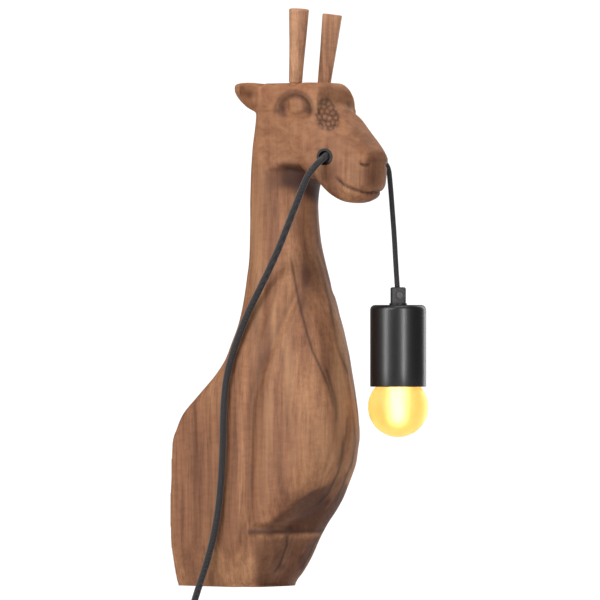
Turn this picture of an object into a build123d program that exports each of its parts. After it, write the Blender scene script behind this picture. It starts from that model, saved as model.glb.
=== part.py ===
from build123d import *
import math
import os

# Plug-in wall lamp carved as a giraffe: head, neck, chest and flat back in one
# block of hardwood, two peg horns, a flex led through the muzzle to a hanging
# lampholder with a globe bulb, and a supply flex with an in-line switch.
#
# Frame: the back rests on the wall plane Y = 0, the giraffe looks along -Y,
# +Z is up and +X is the giraffe's left. The origin is the middle of the flat
# back. F is used for the distance from the wall (F = -Y), and heights in the
# tables are above the base.

# ---- driving dimensions, millimetres -------------------------------------
BASE_DROP = 75.0            # base below the origin
HORN_TOP_RIGHT = 599.5      # height of the right horn's top above the base
HORN_TOP_LEFT = 595.5
HORN_R_BASE, HORN_R_TOP = 6.4, 9.8
HORN_PEG_DEPTH = 22.0
HEAD_TOP = 523.5

SUPPLY_R = 3.5              # supply flex radius
PENDANT_R = 2.7             # hanging flex radius
SUPPLY_LENGTH = 1800.0      # muzzle to plug

LAMP_X, LAMP_F = 52.2, 215.7
CUP_R, CUP_WALL = 29.1, 1.0
CUP_BOTTOM, CUP_TOP = 208.4, 293.2
BULB_R, BULB_CENTRE = 31.4, 187.4
CAP_R = 13.15
CAP_BOTTOM, CAP_TOP = 234.0, 258.0
SHELL_R_IN, SHELL_R_OUT = 13.5, 14.6
CORE_R = 20.0

SWITCH_X, SWITCH_F = -60.0, 31.0
SWITCH_TOP, SWITCH_BOTTOM = -27.0, -85.0
SWITCH_W, SWITCH_D = 25.0, 19.0
ROCKER_TILT = 7.0           # degrees from level, each side

HANK_TOP, HANK_BOTTOM = -99.0, -221.0
HANK_W, HANK_T = 49.0, 32.0
PLUG_TOP = -242.0
PIN_R, PIN_LEN, PIN_PITCH = 2.0, 19.0, 18.6
PIN_ROOT_R = 1.5

KEYHOLE_Z = 130.0           # height of the keyhole entries above the base
KEYHOLE_PITCH, KEYHOLE_R, KEYSLOT_R = 60.0, 4.5, 2.3

# height, half width, back corner radius, back F, flank front F,
# breast half width, breast front F, breast exponent
BODY = [
    (0.0, 42.5, 4.0, 0.0, 78.0, 35.5, 100.8, 3.40),
    (3.6, 47.5, 4.0, 0.0, 79.5, 40.5, 99.3, 3.39),
    (13.5, 50.9, 4.0, 0.0, 83.4, 43.9, 107.4, 3.35),
    (30.1, 55.1, 4.0, 0.0, 88.0, 48.1, 118.1, 3.28),
    (46.8, 58.5, 4.0, 0.0, 91.4, 51.5, 126.6, 3.21),
    (63.4, 59.0, 4.0, 0.0, 93.6, 52.4, 138.8, 3.14),
    (80.0, 59.2, 4.0, 0.0, 95.6, 54.9, 153.0, 3.07),
    (96.7, 59.0, 4.0, 0.0, 97.6, 56.2, 165.8, 3.00),
    (113.3, 58.0, 4.0, 0.0, 98.2, 56.1, 175.6, 2.93),
    (129.9, 57.4, 4.0, 0.0, 98.4, 55.7, 183.6, 2.86),
    (146.6, 56.6, 4.4, 0.0, 98.6, 54.8, 187.7, 2.80),
    (154.9, 56.5, 5.0, 1.2, 98.7, 54.9, 189.3, 2.77),
    (163.2, 56.5, 6.9, 4.2, 98.8, 54.9, 189.5, 2.74),
    (171.5, 56.5, 8.9, 7.1, 99.0, 55.0, 188.8, 2.71),
    (179.8, 56.4, 11.4, 11.0, 99.1, 54.9, 188.4, 2.68),
    (188.1, 56.2, 14.1, 17.4, 99.2, 54.8, 187.4, 2.64),
    (196.5, 55.9, 17.0, 24.9, 99.3, 54.5, 186.4, 2.61),
    (208.9, 55.1, 21.0, 35.5, 99.5, 53.9, 184.6, 2.58),
    (221.4, 54.0, 24.0, 46.2, 99.6, 52.8, 182.2, 2.56),
    (238.0, 52.0, 28.0, 55.8, 99.8, 50.9, 179.6, 2.52),
    (254.7, 49.1, 29.5, 60.7, 100.3, 48.2, 175.8, 2.49),
    (271.3, 45.9, 31.0, 65.4, 101.6, 45.4, 171.4, 2.46),
    (287.9, 43.0, 31.0, 68.4, 102.8, 42.8, 165.4, 2.42),
    (304.6, 40.1, 31.0, 70.0, 106.0, 40.1, 159.4, 2.40),
    (321.2, 37.8, 30.6, 71.1, 106.5, 37.8, 154.5, 2.40),
    (337.8, 35.5, 30.0, 72.1, 107.0, 35.5, 149.6, 2.40),
    (362.8, 34.2, 29.0, 72.7, 107.0, 34.2, 142.7, 2.40),
    (396.0, 32.4, 29.0, 71.7, 104.0, 32.4, 140.6, 2.40),
]

# crown point (F, height), throat point (F, height), half width, crown corner radius,
# lower exponent: sections that fan round the throat from the neck to the nose
HEAD = [
    ((71.3, 424.0), (143.0, 417.0), 32.2, 28.0, 2.4),
    ((71.5, 455.0), (150.0, 424.0), 32.0, 25.0, 2.5),
    ((72.5, 489.0), (157.0, 425.0), 32.0, 21.0, 2.6),
    ((80.0, 517.0), (163.0, 424.5), 32.8, 16.0, 2.7),
    ((97.0, 523.5), (167.0, 423.0), 33.6, 12.0, 2.8),
    ((125.0, 523.5), (171.0, 421.0), 34.0, 11.0, 2.8),
    ((150.0, 523.5), (175.0, 417.0), 33.8, 11.0, 2.8),
    ((168.5, 521.0), (180.0, 413.0), 33.0, 11.0, 2.8),
    ((177.0, 502.0), (186.0, 408.5), 32.0, 13.0, 2.8),
    ((187.0, 485.5), (193.0, 403.5), 30.2, 14.0, 2.8),
    ((200.0, 472.0), (203.0, 400.0), 27.4, 14.0, 2.8),
    ((213.0, 461.0), (213.0, 400.0), 24.6, 13.0, 2.8),
    ((222.0, 453.0), (221.5, 404.5), 22.6, 12.0, 2.8),
    ((227.5, 447.0), (227.5, 413.0), 20.4, 10.0, 2.6),
    ((229.5, 443.0), (229.5, 419.0), 17.0, 8.0, 2.4),
]

# ear: root and tip (distance from the middle plane, F, height), radii
EAR_ROOT, EAR_TIP = (24.0, 86.0, 504.0), (58.0, 86.5, 516.5)
EAR_R_ROOT, EAR_R_TIP = 13.5, 3.0


def at(x, f, z):
    """Row frame from half width, distance from the wall and height above the base."""
    return Vector(x, -f, z - BASE_DROP)


def sp(c, p):
    return math.copysign(abs(c) ** (2.0 / p), c)


def wire_of(points):
    return Wire.make_polygon([Vector(*p) if not isinstance(p, Vector) else p for p in points], close=True)


def skin(rings):
    """Closed solid through rings of equally many points, in flat triangles."""
    n = len(rings[0])
    faces = [Face(wire_of(rings[0])), Face(wire_of(rings[-1][::-1]))]
    for lo, hi in zip(rings, rings[1:]):
        for i in range(n):
            j = (i + 1) % n
            faces.append(Face(wire_of([lo[j], lo[i], hi[i]])))
            faces.append(Face(wire_of([hi[j], lo[j], hi[i]])))
    solid = Solid(Shell(faces))
    return solid if solid.volume > 0 else Solid(solid.wrapped.Reversed())


def outline(w, rb, fb, f1, wf, ff, p, n=7):
    """Flat back with two rounded corners, straight flanks, and a superellipse in front."""
    pts = []
    for i in range(2 * n + 1):
        a = math.pi * i / (2 * n)
        pts.append((wf * sp(math.cos(a), p), f1 + 2.0 + (ff - f1 - 2.0) * sp(math.sin(a), p)))
    pts.append((-w, f1 - 2.0))
    for i in range(4):
        a = math.pi + math.pi / 2 * i / 3
        pts.append((-(w - rb) + rb * math.cos(a), fb + rb + rb * math.sin(a)))
    for i in range(4):
        a = 1.5 * math.pi + math.pi / 2 * i / 3
        pts.append(((w - rb) + rb * math.cos(a), fb + rb + rb * math.sin(a)))
    pts.append((w, f1 - 2.0))
    return pts


def body_ring(row):
    z, w, rb, fb, f1, wf, ff, p = row
    return [at(x, f, z) for x, f in outline(w, rb, fb, f1, wf, ff, p)]


def head_ring(row):
    (nf, nz), (tf, tz), w, rb, p = row
    length = math.hypot(tf - nf, tz - nz)
    df, dz = (tf - nf) / length, (tz - nz) / length
    pts = outline(w, rb, 0.0, 0.52 * length, w, length, p)
    return [at(x, nf + v * df, nz + v * dz) for x, v in pts]


def ear(side):
    root = at(side * EAR_ROOT[0], *EAR_ROOT[1:])
    tip = at(side * EAR_TIP[0], *EAR_TIP[1:])
    return Solid.make_cone(EAR_R_ROOT, EAR_R_TIP, (tip - root).length, Plane(origin=root, z_dir=tip - root))


def cyl(x, f, z0, z1, r):
    """Upright cylinder between two heights above the base."""
    return Solid.make_cylinder(r, z1 - z0, Plane(origin=at(x, f, z0), z_dir=(0, 0, 1)))


def rod(a, b, r):
    d = b - a
    return Solid.make_cylinder(r, d.length, Plane(origin=a, z_dir=d))


def block(x0, x1, f0, f1, z0, z1):
    return Solid.make_box(x1 - x0, f1 - f0, z1 - z0, Plane(origin=at(x0, f1, z0)))


def revolved(profile, x, f):
    """Profile of (radius, height above the base) turned about an upright axis."""
    pts = [at(x + r, f, z) for r, z in profile]
    face = Face(wire_of(pts))
    o = at(x, f, 0)
    return Solid.revolve(face, 360, Axis(o, (0, 0, 1)))


def route_radii(points):
    radii = []
    for i in range(1, len(points) - 1):
        a, b = points[i] - points[i - 1], points[i + 1] - points[i]
        turn = math.radians(a.get_angle(b))
        radii.append(0.45 * min(a.length, b.length) / math.tan(turn / 2))
    return radii


def tube(points, r, name=None):
    radii = route_radii(points)
    path = FilletPolyline(*points, radius=radii)
    edges = path.edges()
    wire = path if isinstance(path, Wire) else Wire(edges)
    start = Plane(origin=points[0], z_dir=(points[1] - points[0]))
    section = Face(Wire.make_circle(r, start))
    solid = Solid.sweep(section, wire, transition=Transition.RIGHT)
    if name:
        ideal = math.pi * r * r * wire.length
        print(f"{name}: length {wire.length:.1f}, radii {[round(v, 1) for v in radii]}, volume ratio {solid.volume / ideal:.4f}")
    return solid, wire.length


parts = {}

# ---- the carved block -----------------------------------------------------
wood = skin([body_ring(r) for r in BODY] + [head_ring(r) for r in HEAD])
for side in (-1, 1):
    wood = wood.fuse(ear(side))

# horns: tapered pegs let into the top of the head
HORN_BASE_X, HORN_BASE_F = 24.2, 140.2
HORN_TIP_X, HORN_TIP_F = 28.2, 148.0


def horn(side, top):
    a = at(side * HORN_BASE_X, HORN_BASE_F, HEAD_TOP)
    b = at(side * HORN_TIP_X, HORN_TIP_F, top)
    d = (b - a).normalized()
    foot = a - d * HORN_PEG_DEPTH
    shaft = Solid.make_cone(HORN_R_BASE, HORN_R_TOP, (b - a).length + 1.0, Plane(origin=a - d * 1.0, z_dir=d))
    peg = Solid.make_cylinder(HORN_R_BASE - 0.9, HORN_PEG_DEPTH - 1.0, Plane(origin=foot, z_dir=d))
    hole = Solid.make_cylinder(HORN_R_BASE - 0.9, HORN_PEG_DEPTH + 4, Plane(origin=foot, z_dir=d))
    seat = Solid.make_cylinder(HORN_R_BASE, 6.0, Plane(origin=a - d * 1.0, z_dir=d))
    return shaft.fuse(peg), hole.fuse(seat)


parts["horn_right"], hole_r = horn(-1, HORN_TOP_RIGHT)
parts["horn_left"], hole_l = horn(1, HORN_TOP_LEFT)
wood = wood.cut(hole_r).cut(hole_l)

# flex way through the muzzle
NEAR_N = Vector(-0.963, -0.27, 0).normalized()       # cheek normals
FAR_N = Vector(0.963, -0.27, 0).normalized()
NEAR_EXIT = at(-32.2, 184.8, 446.0)
FAR_EXIT = at(28.4, 200.4, 446.0)
OUT_DIR = Vector(-0.87, 0.05, -0.49).normalized()
IN_1 = NEAR_EXIT - OUT_DIR * 14.0
IN_2 = at(2.0, 192.5, 452.5)
FAR_DIR = Vector(0.92, -0.37, -0.12).normalized()
IN_3 = FAR_EXIT - FAR_DIR * 15.0
WAY_NEAR_R, WAY_FAR_R = SUPPLY_R + 1.7, PENDANT_R + 2.1
for p0, p1, r, ball in ((NEAR_EXIT + OUT_DIR * 5.0, IN_1, WAY_NEAR_R, 5.6), (IN_1, IN_2, WAY_NEAR_R, 6.2),
                        (IN_2, IN_3, WAY_FAR_R, 5.2), (IN_3, FAR_EXIT + FAR_DIR * 5.0, WAY_FAR_R, 0)):
    wood = wood.cut(rod(p0, p1, r))
    if ball:
        wood = wood.cut(Solid.make_sphere(ball, Plane(origin=p1)))

GROM_R, GROM_IN, GROM_SLEEVE = 8.6, 6.2, 7.4
FGROM_R, FGROM_IN, FGROM_SLEEVE = 7.4, 4.6, 6.0


def grommet(exit_point, n, r, r_in, r_sleeve):
    foot = exit_point - n * 3.0
    ring = Solid.make_cylinder(r, 1.7, Plane(origin=exit_point - n * 0.5, z_dir=n))
    sleeve = Solid.make_cylinder(r_sleeve, 3.0, Plane(origin=foot, z_dir=n))
    hole = Solid.make_cylinder(r_in, 12.0, Plane(origin=foot - n * 2.0, z_dir=n))
    seat = Solid.make_cylinder(r_sleeve, 12.0, Plane(origin=foot, z_dir=n)).fuse(
        Solid.make_cylinder(r, 12.0, Plane(origin=exit_point - n * 0.5, z_dir=n)))
    return ring.fuse(sleeve).cut(hole), seat


g_near, seat_n = grommet(NEAR_EXIT, NEAR_N, GROM_R, GROM_IN, GROM_SLEEVE)
g_far, seat_f = grommet(FAR_EXIT, FAR_N, FGROM_R, FGROM_IN, FGROM_SLEEVE)
wood = wood.cut(seat_n).cut(seat_f)
parts["grommet_near"] = g_near
parts["grommet_far"] = g_far

# hanger: a flush steel plate with two keyholes over one routed recess for the screw heads
PLATE_X, PLATE_Z0, PLATE_Z1, PLATE_T = 46.0, KEYHOLE_Z - 10.0, KEYHOLE_Z + 18.0, 1.5
RECESS_X, RECESS_Z0, RECESS_Z1, RECESS_F = 38.5, KEYHOLE_Z - 7.5, KEYHOLE_Z + 15.5, 10.0
wood = wood.cut(block(-PLATE_X, PLATE_X, -1, PLATE_T, PLATE_Z0, PLATE_Z1))
wood = wood.cut(block(-RECESS_X, RECESS_X, -1, RECESS_F, RECESS_Z0, RECESS_Z1))
plate = block(-PLATE_X + 0.1, PLATE_X - 0.1, 0, PLATE_T - 0.05, PLATE_Z0 + 0.1, PLATE_Z1 - 0.1)
for sx in (-1, 1):
    kx = sx * KEYHOLE_PITCH / 2
    entry = Solid.make_cylinder(KEYHOLE_R, 6, Plane(origin=at(kx, 4, KEYHOLE_Z), z_dir=(0, 1, 0)))
    slot = block(kx - KEYSLOT_R, kx + KEYSLOT_R, -2, 4, KEYHOLE_Z, KEYHOLE_Z + 9)
    slot_end = Solid.make_cylinder(KEYSLOT_R, 6, Plane(origin=at(kx, 4, KEYHOLE_Z + 9), z_dir=(0, 1, 0)))
    plate = plate.cut(entry, slot, slot_end)
screws = []
for sx in (-1, 1):
    x, z = sx * 42.2, KEYHOLE_Z + 4.0
    cone = Solid.make_cone(3.2, 1.5, PLATE_T, Plane(origin=at(x, 0, z), z_dir=(0, -1, 0)))
    shank = Solid.make_cylinder(1.5, 14.0, Plane(origin=at(x, PLATE_T, z), z_dir=(0, -1, 0)))
    plate = plate.cut(cone)
    wood = wood.cut(shank)
    slot = Solid.make_box(4.0, 1.2, 0.8, Plane(origin=at(x - 2.0, 0.6, z - 0.4)))
    slot2 = Solid.make_box(0.8, 1.2, 4.0, Plane(origin=at(x - 0.4, 0.6, z - 2.0)))
    screws.append(cone.fuse(shank).cut(slot, slot2))
parts["hanger_plate"] = plate
parts["hanger_screws"] = Compound(children=screws)
parts["carved_body"] = wood

# ---- flexes ---------------------------------------------------------------
fl_head, _ = tube([NEAR_EXIT, IN_1, IN_2], SUPPLY_R)
parts["flex_in_head"] = fl_head

PIVOT_A = at(48.0, 208.8, 418.0)
PIVOT_B = at(48.6, 210.4, 396.0)
GAP = 0.4
ARC = [IN_2, IN_3, FAR_EXIT + FAR_DIR * 10.0, at(46.6, 207.7, 435.2), at(47.9, 208.6, 420.5)]
ARC_END = PIVOT_A + (ARC[-2] - ARC[-1]).normalized() * (PENDANT_R + GAP / 2)


def capped(points, r, name, ball_start=False, ball_end=False):
    """A tube whose free ends carry a half ball, so that it can turn about a point just past it."""
    s, length = tube(points, r, name) if len(points) > 2 else (rod(points[0], points[1], r), (points[1] - points[0]).length)
    if ball_start:
        s = s.fuse(Solid.make_sphere(r, Plane(origin=points[0])))
    if ball_end:
        s = s.fuse(Solid.make_sphere(r, Plane(origin=points[-1])))
    return s, length


arc_pts = ARC[:-1] + [ARC_END]
parts["flex_exit_arc"], _ = capped(arc_pts, PENDANT_R, "flex_exit_arc", ball_end=True)
link_dir = (PIVOT_B - PIVOT_A).normalized()
parts["flex_link"], _ = capped([PIVOT_A + link_dir * (PENDANT_R + GAP / 2), PIVOT_B - link_dir * (PENDANT_R + GAP / 2)],
                               PENDANT_R, "flex_link", True, True)
GRIP_TOP = 311.6
PEND = [PIVOT_B, at(50.2, 212.5, 361.0), at(51.3, 213.6, 330.0), at(52.15, 215.55, 299.0)]
pend_dir = (PEND[1] - PEND[0]).normalized()
parts["pendant_flex"], _ = capped([PIVOT_B + pend_dir * (PENDANT_R + GAP / 2)] + PEND[1:], PENDANT_R, "pendant_flex", ball_start=True)

DROP = [
    NEAR_EXIT,
    NEAR_EXIT + OUT_DIR * 15.0,
    at(-56.0, 180.0, 425.5),
    at(-60.0, 173.0, 405.0),
    at(-56.0, 157.0, 379.4),
    at(-51.0, 136.3, 346.0),
    at(-48.5, 114.8, 314.0),
    at(-50.8, 98.0, 284.8),
    at(-55.8, 86.3, 253.6),
    at(-61.0, 77.8, 220.4),
    at(-63.4, 75.6, 184.0),
    at(-64.2, 75.8, 142.4),
    at(-65.2, 73.9, 105.0),
    at(-66.2, 68.7, 64.4),
    at(-65.2, 55.4, 25.0),
    at(-63.0, 41.0, -4.5),
    at(-61.0, 33.6, -20.0),
    at(SWITCH_X, SWITCH_F, SWITCH_TOP - 8.0),
]
parts["flex_drop"], drop_len = tube(DROP, SUPPLY_R, "flex_drop")
switch_len = SWITCH_TOP - SWITCH_BOTTOM
parts["flex_mid"] = rod(at(SWITCH_X, SWITCH_F, SWITCH_BOTTOM + 5.0), at(SWITCH_X, SWITCH_F, HANK_TOP), SUPPLY_R)
parts["flex_tail"] = rod(at(SWITCH_X, SWITCH_F, HANK_BOTTOM), at(SWITCH_X, SWITCH_F, PLUG_TOP - 3.0), SUPPLY_R)
hank_len = SUPPLY_LENGTH - drop_len - (SWITCH_TOP - HANK_TOP - 5.0) - (HANK_BOTTOM - PLUG_TOP)
print(f"supply flex {SUPPLY_LENGTH:.0f}: drop {drop_len:.0f}, in the hank {hank_len:.0f}")

# hank: a long flat oval of turns, with rounded edges
hank_plane = Plane(origin=at(SWITCH_X, SWITCH_F - HANK_T / 2, (HANK_TOP + HANK_BOTTOM) / 2), x_dir=(0, 0, 1), z_dir=(0, -1, 0))
hank_face = hank_plane * SlotOverall(HANK_TOP - HANK_BOTTOM, HANK_W)
hank = extrude(hank_face, HANK_T)
hank = fillet(hank.edges(), 3.4)
TIE_Z, TIE_H, TIE_T = (HANK_TOP + HANK_BOTTOM) / 2, 11.0, 1.4
tie_out = block(SWITCH_X - HANK_W / 2 - TIE_T, SWITCH_X + HANK_W / 2 + TIE_T, SWITCH_F - HANK_T / 2 - TIE_T,
                SWITCH_F + HANK_T / 2 + TIE_T, TIE_Z - TIE_H / 2, TIE_Z + TIE_H / 2)
tie_out = fillet(Part(tie_out.wrapped).edges().filter_by(Axis.Z), 4.0)
parts["flex_hank"] = hank
parts["hank_tie"] = tie_out.cut(hank) if hasattr(tie_out, "cut") else tie_out - hank

# ---- in-line switch ---------------------------------------------------------
SW_C = (SWITCH_TOP + SWITCH_BOTTOM) / 2
RIM = 1.8


def switch_half(front):
    f0, f1 = (SWITCH_F, SWITCH_F + SWITCH_D / 2) if front else (SWITCH_F - SWITCH_D / 2, SWITCH_F)
    s = Part(block(SWITCH_X - SWITCH_W / 2, SWITCH_X + SWITCH_W / 2, f0, f1, SWITCH_BOTTOM, SWITCH_TOP).wrapped)
    s = fillet(s.edges().filter_by(Axis.Y), 7.0)
    outer = s.faces().sort_by(Axis.Y)[0 if front else -1]
    s = fillet(outer.edges(), 2.6)
    c0, c1 = (SWITCH_F - 1, f1 - RIM) if front else (f0 + RIM, SWITCH_F + 1)
    s = s - Part(block(SWITCH_X - SWITCH_W / 2 + 2.5, SWITCH_X + SWITCH_W / 2 - 2.5, c0, c1, SWITCH_BOTTOM + 9, SWITCH_TOP - 9).wrapped)
    s = s - Part(cyl(SWITCH_X, SWITCH_F, SWITCH_BOTTOM - 1, SWITCH_TOP + 1, SUPPLY_R + 0.02).wrapped)
    s = s - Part(cyl(SWITCH_X, SWITCH_F, SWITCH_TOP - 10, SWITCH_TOP + 1, SUPPLY_R + 1.4).wrapped)
    return s


ROCK_F = SWITCH_F + SWITCH_D / 2 - 3.2
ROCK_W, ROCK_H = 11.0, 21.0
front = switch_half(True) - Part(block(SWITCH_X - ROCK_W / 2 - 0.5, SWITCH_X + ROCK_W / 2 + 0.5, SWITCH_F + 3, SWITCH_F + SWITCH_D,
                                       SW_C - ROCK_H / 2 - 0.7, SW_C + ROCK_H / 2 + 0.7).wrapped)
back = switch_half(False)
sw_screws = []
for z in (SWITCH_TOP - 13.5, SWITCH_BOTTOM + 13.5):
    x = SWITCH_X + 0.0
    boss = None
    head_c = Solid.make_cylinder(2.6, 1.4, Plane(origin=at(x, SWITCH_F - SWITCH_D / 2 + 0.2, z), z_dir=(0, -1, 0)))
    shank = Solid.make_cylinder(1.3, 3.2, Plane(origin=at(x, SWITCH_F - SWITCH_D / 2 + 1.6, z), z_dir=(0, -1, 0)))
    sink = Solid.make_cylinder(2.6, 3.0, Plane(origin=at(x, SWITCH_F - SWITCH_D / 2 - 1.4, z), z_dir=(0, -1, 0)))
    hole = Solid.make_cylinder(1.3, 12.0, Plane(origin=at(x, SWITCH_F - SWITCH_D / 2 - 1.0, z), z_dir=(0, -1, 0)))
    cross = Solid.make_box(3.4, 0.9, 0.7, Plane(origin=at(x - 1.7, SWITCH_F - SWITCH_D / 2 + 1.0, z - 0.35)))
    cross2 = Solid.make_box(0.7, 0.9, 3.4, Plane(origin=at(x - 0.35, SWITCH_F - SWITCH_D / 2 + 1.0, z - 1.7)))
    back = back - Part(sink.wrapped) - Part(hole.wrapped)
    sw_screws.append(head_c.fuse(shank).cut(cross, cross2))
parts["switch_front"] = front
parts["switch_back"] = back
parts["switch_screws"] = Compound(children=sw_screws)
parts["switch_contacts"] = Compound(children=[
    block(SWITCH_X - 8.0, SWITCH_X - 6.5, SWITCH_F - 4.0, SWITCH_F + 1.5, SW_C - 12, SW_C + 12),
    block(SWITCH_X + 6.5, SWITCH_X + 8.0, SWITCH_F - 4.0, SWITCH_F + 1.5, SW_C - 12, SW_C + 12)])
# rocker: a shallow saddle on a cross shaft, resting on its lower end
rock = Part(block(SWITCH_X - ROCK_W / 2, SWITCH_X + ROCK_W / 2, ROCK_F - 2.6, ROCK_F + 3.9, SW_C - ROCK_H / 2, SW_C + ROCK_H / 2).wrapped)
dish = Solid.make_cylinder(46.0, ROCK_W + 4, Plane(origin=at(SWITCH_X - ROCK_W / 2 - 2, ROCK_F + 3.9 + 44.9, SW_C), z_dir=(1, 0, 0)))
rock = rock - Part(dish.wrapped)
rock = rock.rotate(Axis(at(SWITCH_X, ROCK_F, SW_C), (1, 0, 0)), -ROCKER_TILT)
parts["switch_rocker"] = rock

# ---- plug -------------------------------------------------------------------
PB_TOP, PB_BOT = PLUG_TOP - 16.0, PLUG_TOP - 50.0
pl = Part(block(SWITCH_X - 17.5, SWITCH_X + 17.5, SWITCH_F - 7.0, SWITCH_F + 7.0, PB_BOT, PB_TOP).wrapped)
pl = fillet(pl.edges().filter_by(Axis.Z), 5.0)
pl = chamfer(pl.faces().sort_by(Axis.Z)[-1].edges(), 4.2)
relief = Part(Solid.make_cone(6.4, 4.6, 17.0, Plane(origin=at(SWITCH_X, SWITCH_F, PB_TOP - 1.0), z_dir=(0, 0, 1))).wrapped)
pl = pl + relief
pl = pl - Part(cyl(SWITCH_X, SWITCH_F, PLUG_TOP - 3.0, PLUG_TOP + 1.0, SUPPLY_R + 0.01).wrapped)
pins = []
for sx in (-1, 1):
    x = SWITCH_X + sx * PIN_PITCH / 2
    p = Part(cyl(x, SWITCH_F, PB_BOT - PIN_LEN, PB_BOT, PIN_R).wrapped)
    p = chamfer(p.faces().sort_by(Axis.Z)[0].edges(), 0.7)
    pins.append(p + Part(cyl(x, SWITCH_F, PB_BOT - 0.5, PB_BOT + 6.0, PIN_ROOT_R).wrapped))
    pl = pl - Part(cyl(x, SWITCH_F, PB_BOT - 1.0, PB_BOT + 6.0, PIN_ROOT_R).wrapped)
parts["plug_body"] = pl
parts["plug_pins"] = Compound(children=pins)

# ---- lampholder -------------------------------------------------------------
cup = revolved([
    (CUP_R, CUP_BOTTOM), (CUP_R, CUP_TOP - 7.0), (CUP_R - 0.9, CUP_TOP - 3.6), (CUP_R - 3.0, CUP_TOP - 1.2), (CUP_R - 6.0, CUP_TOP),
    (5.2, CUP_TOP), (5.2, CUP_TOP - CUP_WALL), (CUP_R - 6.3, CUP_TOP - CUP_WALL), (CUP_R - 3.7, CUP_TOP - 2.0),
    (CUP_R - 1.9, CUP_TOP - 4.1), (CUP_R - CUP_WALL, CUP_TOP - 7.4), (CUP_R - CUP_WALL, CUP_BOTTOM)], LAMP_X, LAMP_F)
parts["lamp_cup"] = cup

CAM_N = Vector(-0.602, -0.799, 0).normalized()       # the way the grip's flat face looks
SIDE = Vector(0, 0, 1).cross(CAM_N)
lamp_o = at(LAMP_X, LAMP_F, 0)
grip_plane = Plane(origin=at(LAMP_X, LAMP_F, CUP_TOP), x_dir=SIDE, z_dir=(0, 0, 1))
grip = extrude(grip_plane * Rectangle(14.6, 13.6), GRIP_TOP - CUP_TOP)
grip = chamfer(grip.edges().filter_by(Axis.Z), 3.2)
grip = chamfer(grip.faces().sort_by(Axis.Z)[-1].edges(), 1.2)
foot = extrude(grip_plane * Circle(9.2), 1.8)
boss_o = at(LAMP_X, LAMP_F, 303.6) + CAM_N * 6.4
boss = Part(Solid.make_cylinder(4.7, 1.6, Plane(origin=boss_o, z_dir=CAM_N)).wrapped)
grip = grip + foot + boss
grip = grip - Part(Solid.make_cylinder(3.4, 5.0, Plane(origin=boss_o - CAM_N * 1.0, z_dir=CAM_N)).wrapped)
grip = grip - Part(Solid.make_cylinder(1.6, 12.0, Plane(origin=boss_o - CAM_N * 8.0, z_dir=CAM_N)).wrapped)
grip = grip - Part(cyl(LAMP_X, LAMP_F, CUP_TOP - 1, 299.5, 5.0).wrapped)
grip = grip - Part(cyl(LAMP_X, LAMP_F, 299.0, GRIP_TOP + 2, 3.7).wrapped)
parts["cord_grip"] = grip
g_head = Solid.make_cylinder(3.3, 1.7, Plane(origin=boss_o - CAM_N * 1.0, z_dir=CAM_N))
g_shank = Solid.make_cylinder(1.55, 2.4, Plane(origin=boss_o - CAM_N * 3.2, z_dir=CAM_N))
cx = Plane(origin=boss_o + CAM_N * 0.2, x_dir=SIDE, z_dir=CAM_N)
cr1 = extrude(cx * Rectangle(4.6, 0.9), 1.0)
cr2 = extrude(cx * Rectangle(0.9, 4.6), 1.0)
parts["cord_grip_screw"] = Part(g_head.fuse(g_shank).wrapped) - cr1 - cr2

parts["threaded_nipple"] = cyl(LAMP_X, LAMP_F, 284.0, 299.0, 5.0).cut(cyl(LAMP_X, LAMP_F, 283.0, 301.0, 3.6))
nut_plane = Plane(origin=at(LAMP_X, LAMP_F, CUP_TOP - CUP_WALL - 3.0))
nut = extrude(nut_plane * RegularPolygon(8.1, 6), 3.0)
parts["nipple_nut"] = nut - Part(cyl(LAMP_X, LAMP_F, 280, 300, 5.0).wrapped)
core = revolved([(CORE_R, 232.0), (CORE_R, 278.0), (CORE_R - 2.0, 281.0), (11.0, 284.0), (5.0, 284.0), (5.0, 281.0), (2.6, 281.0), (2.6, 268.0),
                 (SHELL_R_OUT, 268.0), (SHELL_R_OUT, 232.0)], LAMP_X, LAMP_F)
core = core.fuse(cyl(LAMP_X, LAMP_F, 284.0, 289.2, 9.0).cut(cyl(LAMP_X, LAMP_F, 283.0, 290.0, 5.0)))
t_screws = []
for sx in (-1, 1):
    core = core.cut(cyl(LAMP_X + sx * 13.0, LAMP_F, 270.0, 290.0, 1.5))
    t_screws.append(cyl(LAMP_X + sx * 13.0, LAMP_F, 271.0, 285.0, 1.5).fuse(cyl(LAMP_X + sx * 13.0, LAMP_F, 284.1, 286.1, 2.7)))
parts["socket_core"] = core
parts["terminal_screws"] = Compound(children=t_screws)
parts["socket_shell"] = cyl(LAMP_X, LAMP_F, 236.0, 264.0, SHELL_R_OUT).cut(cyl(LAMP_X, LAMP_F, 235.0, 265.0, SHELL_R_IN))
parts["centre_contact"] = cyl(LAMP_X, LAMP_F, 263.6, 268.0, 2.2).fuse(cyl(LAMP_X, LAMP_F, 263.6, 264.6, 5.0))
parts["lamp_leads"] = Compound(children=[cyl(LAMP_X + sx * 1.5, LAMP_F, 268.0, 296.5, 0.8) for sx in (-1, 1)])

# ---- bulb -------------------------------------------------------------------


def glass_outline(off):
    r = BULB_R - off
    pts = []
    for i in range(0, 19):
        a = math.radians(-90 + i * 7.6)
        pts.append((max(r * math.cos(a), 0.0), BULB_CENTRE + r * math.sin(a)))
    pts += [(19.2 - off, 221.2), (16.2 - off, 226.5), (13.6 - off, 231.5)]
    return pts


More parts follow.
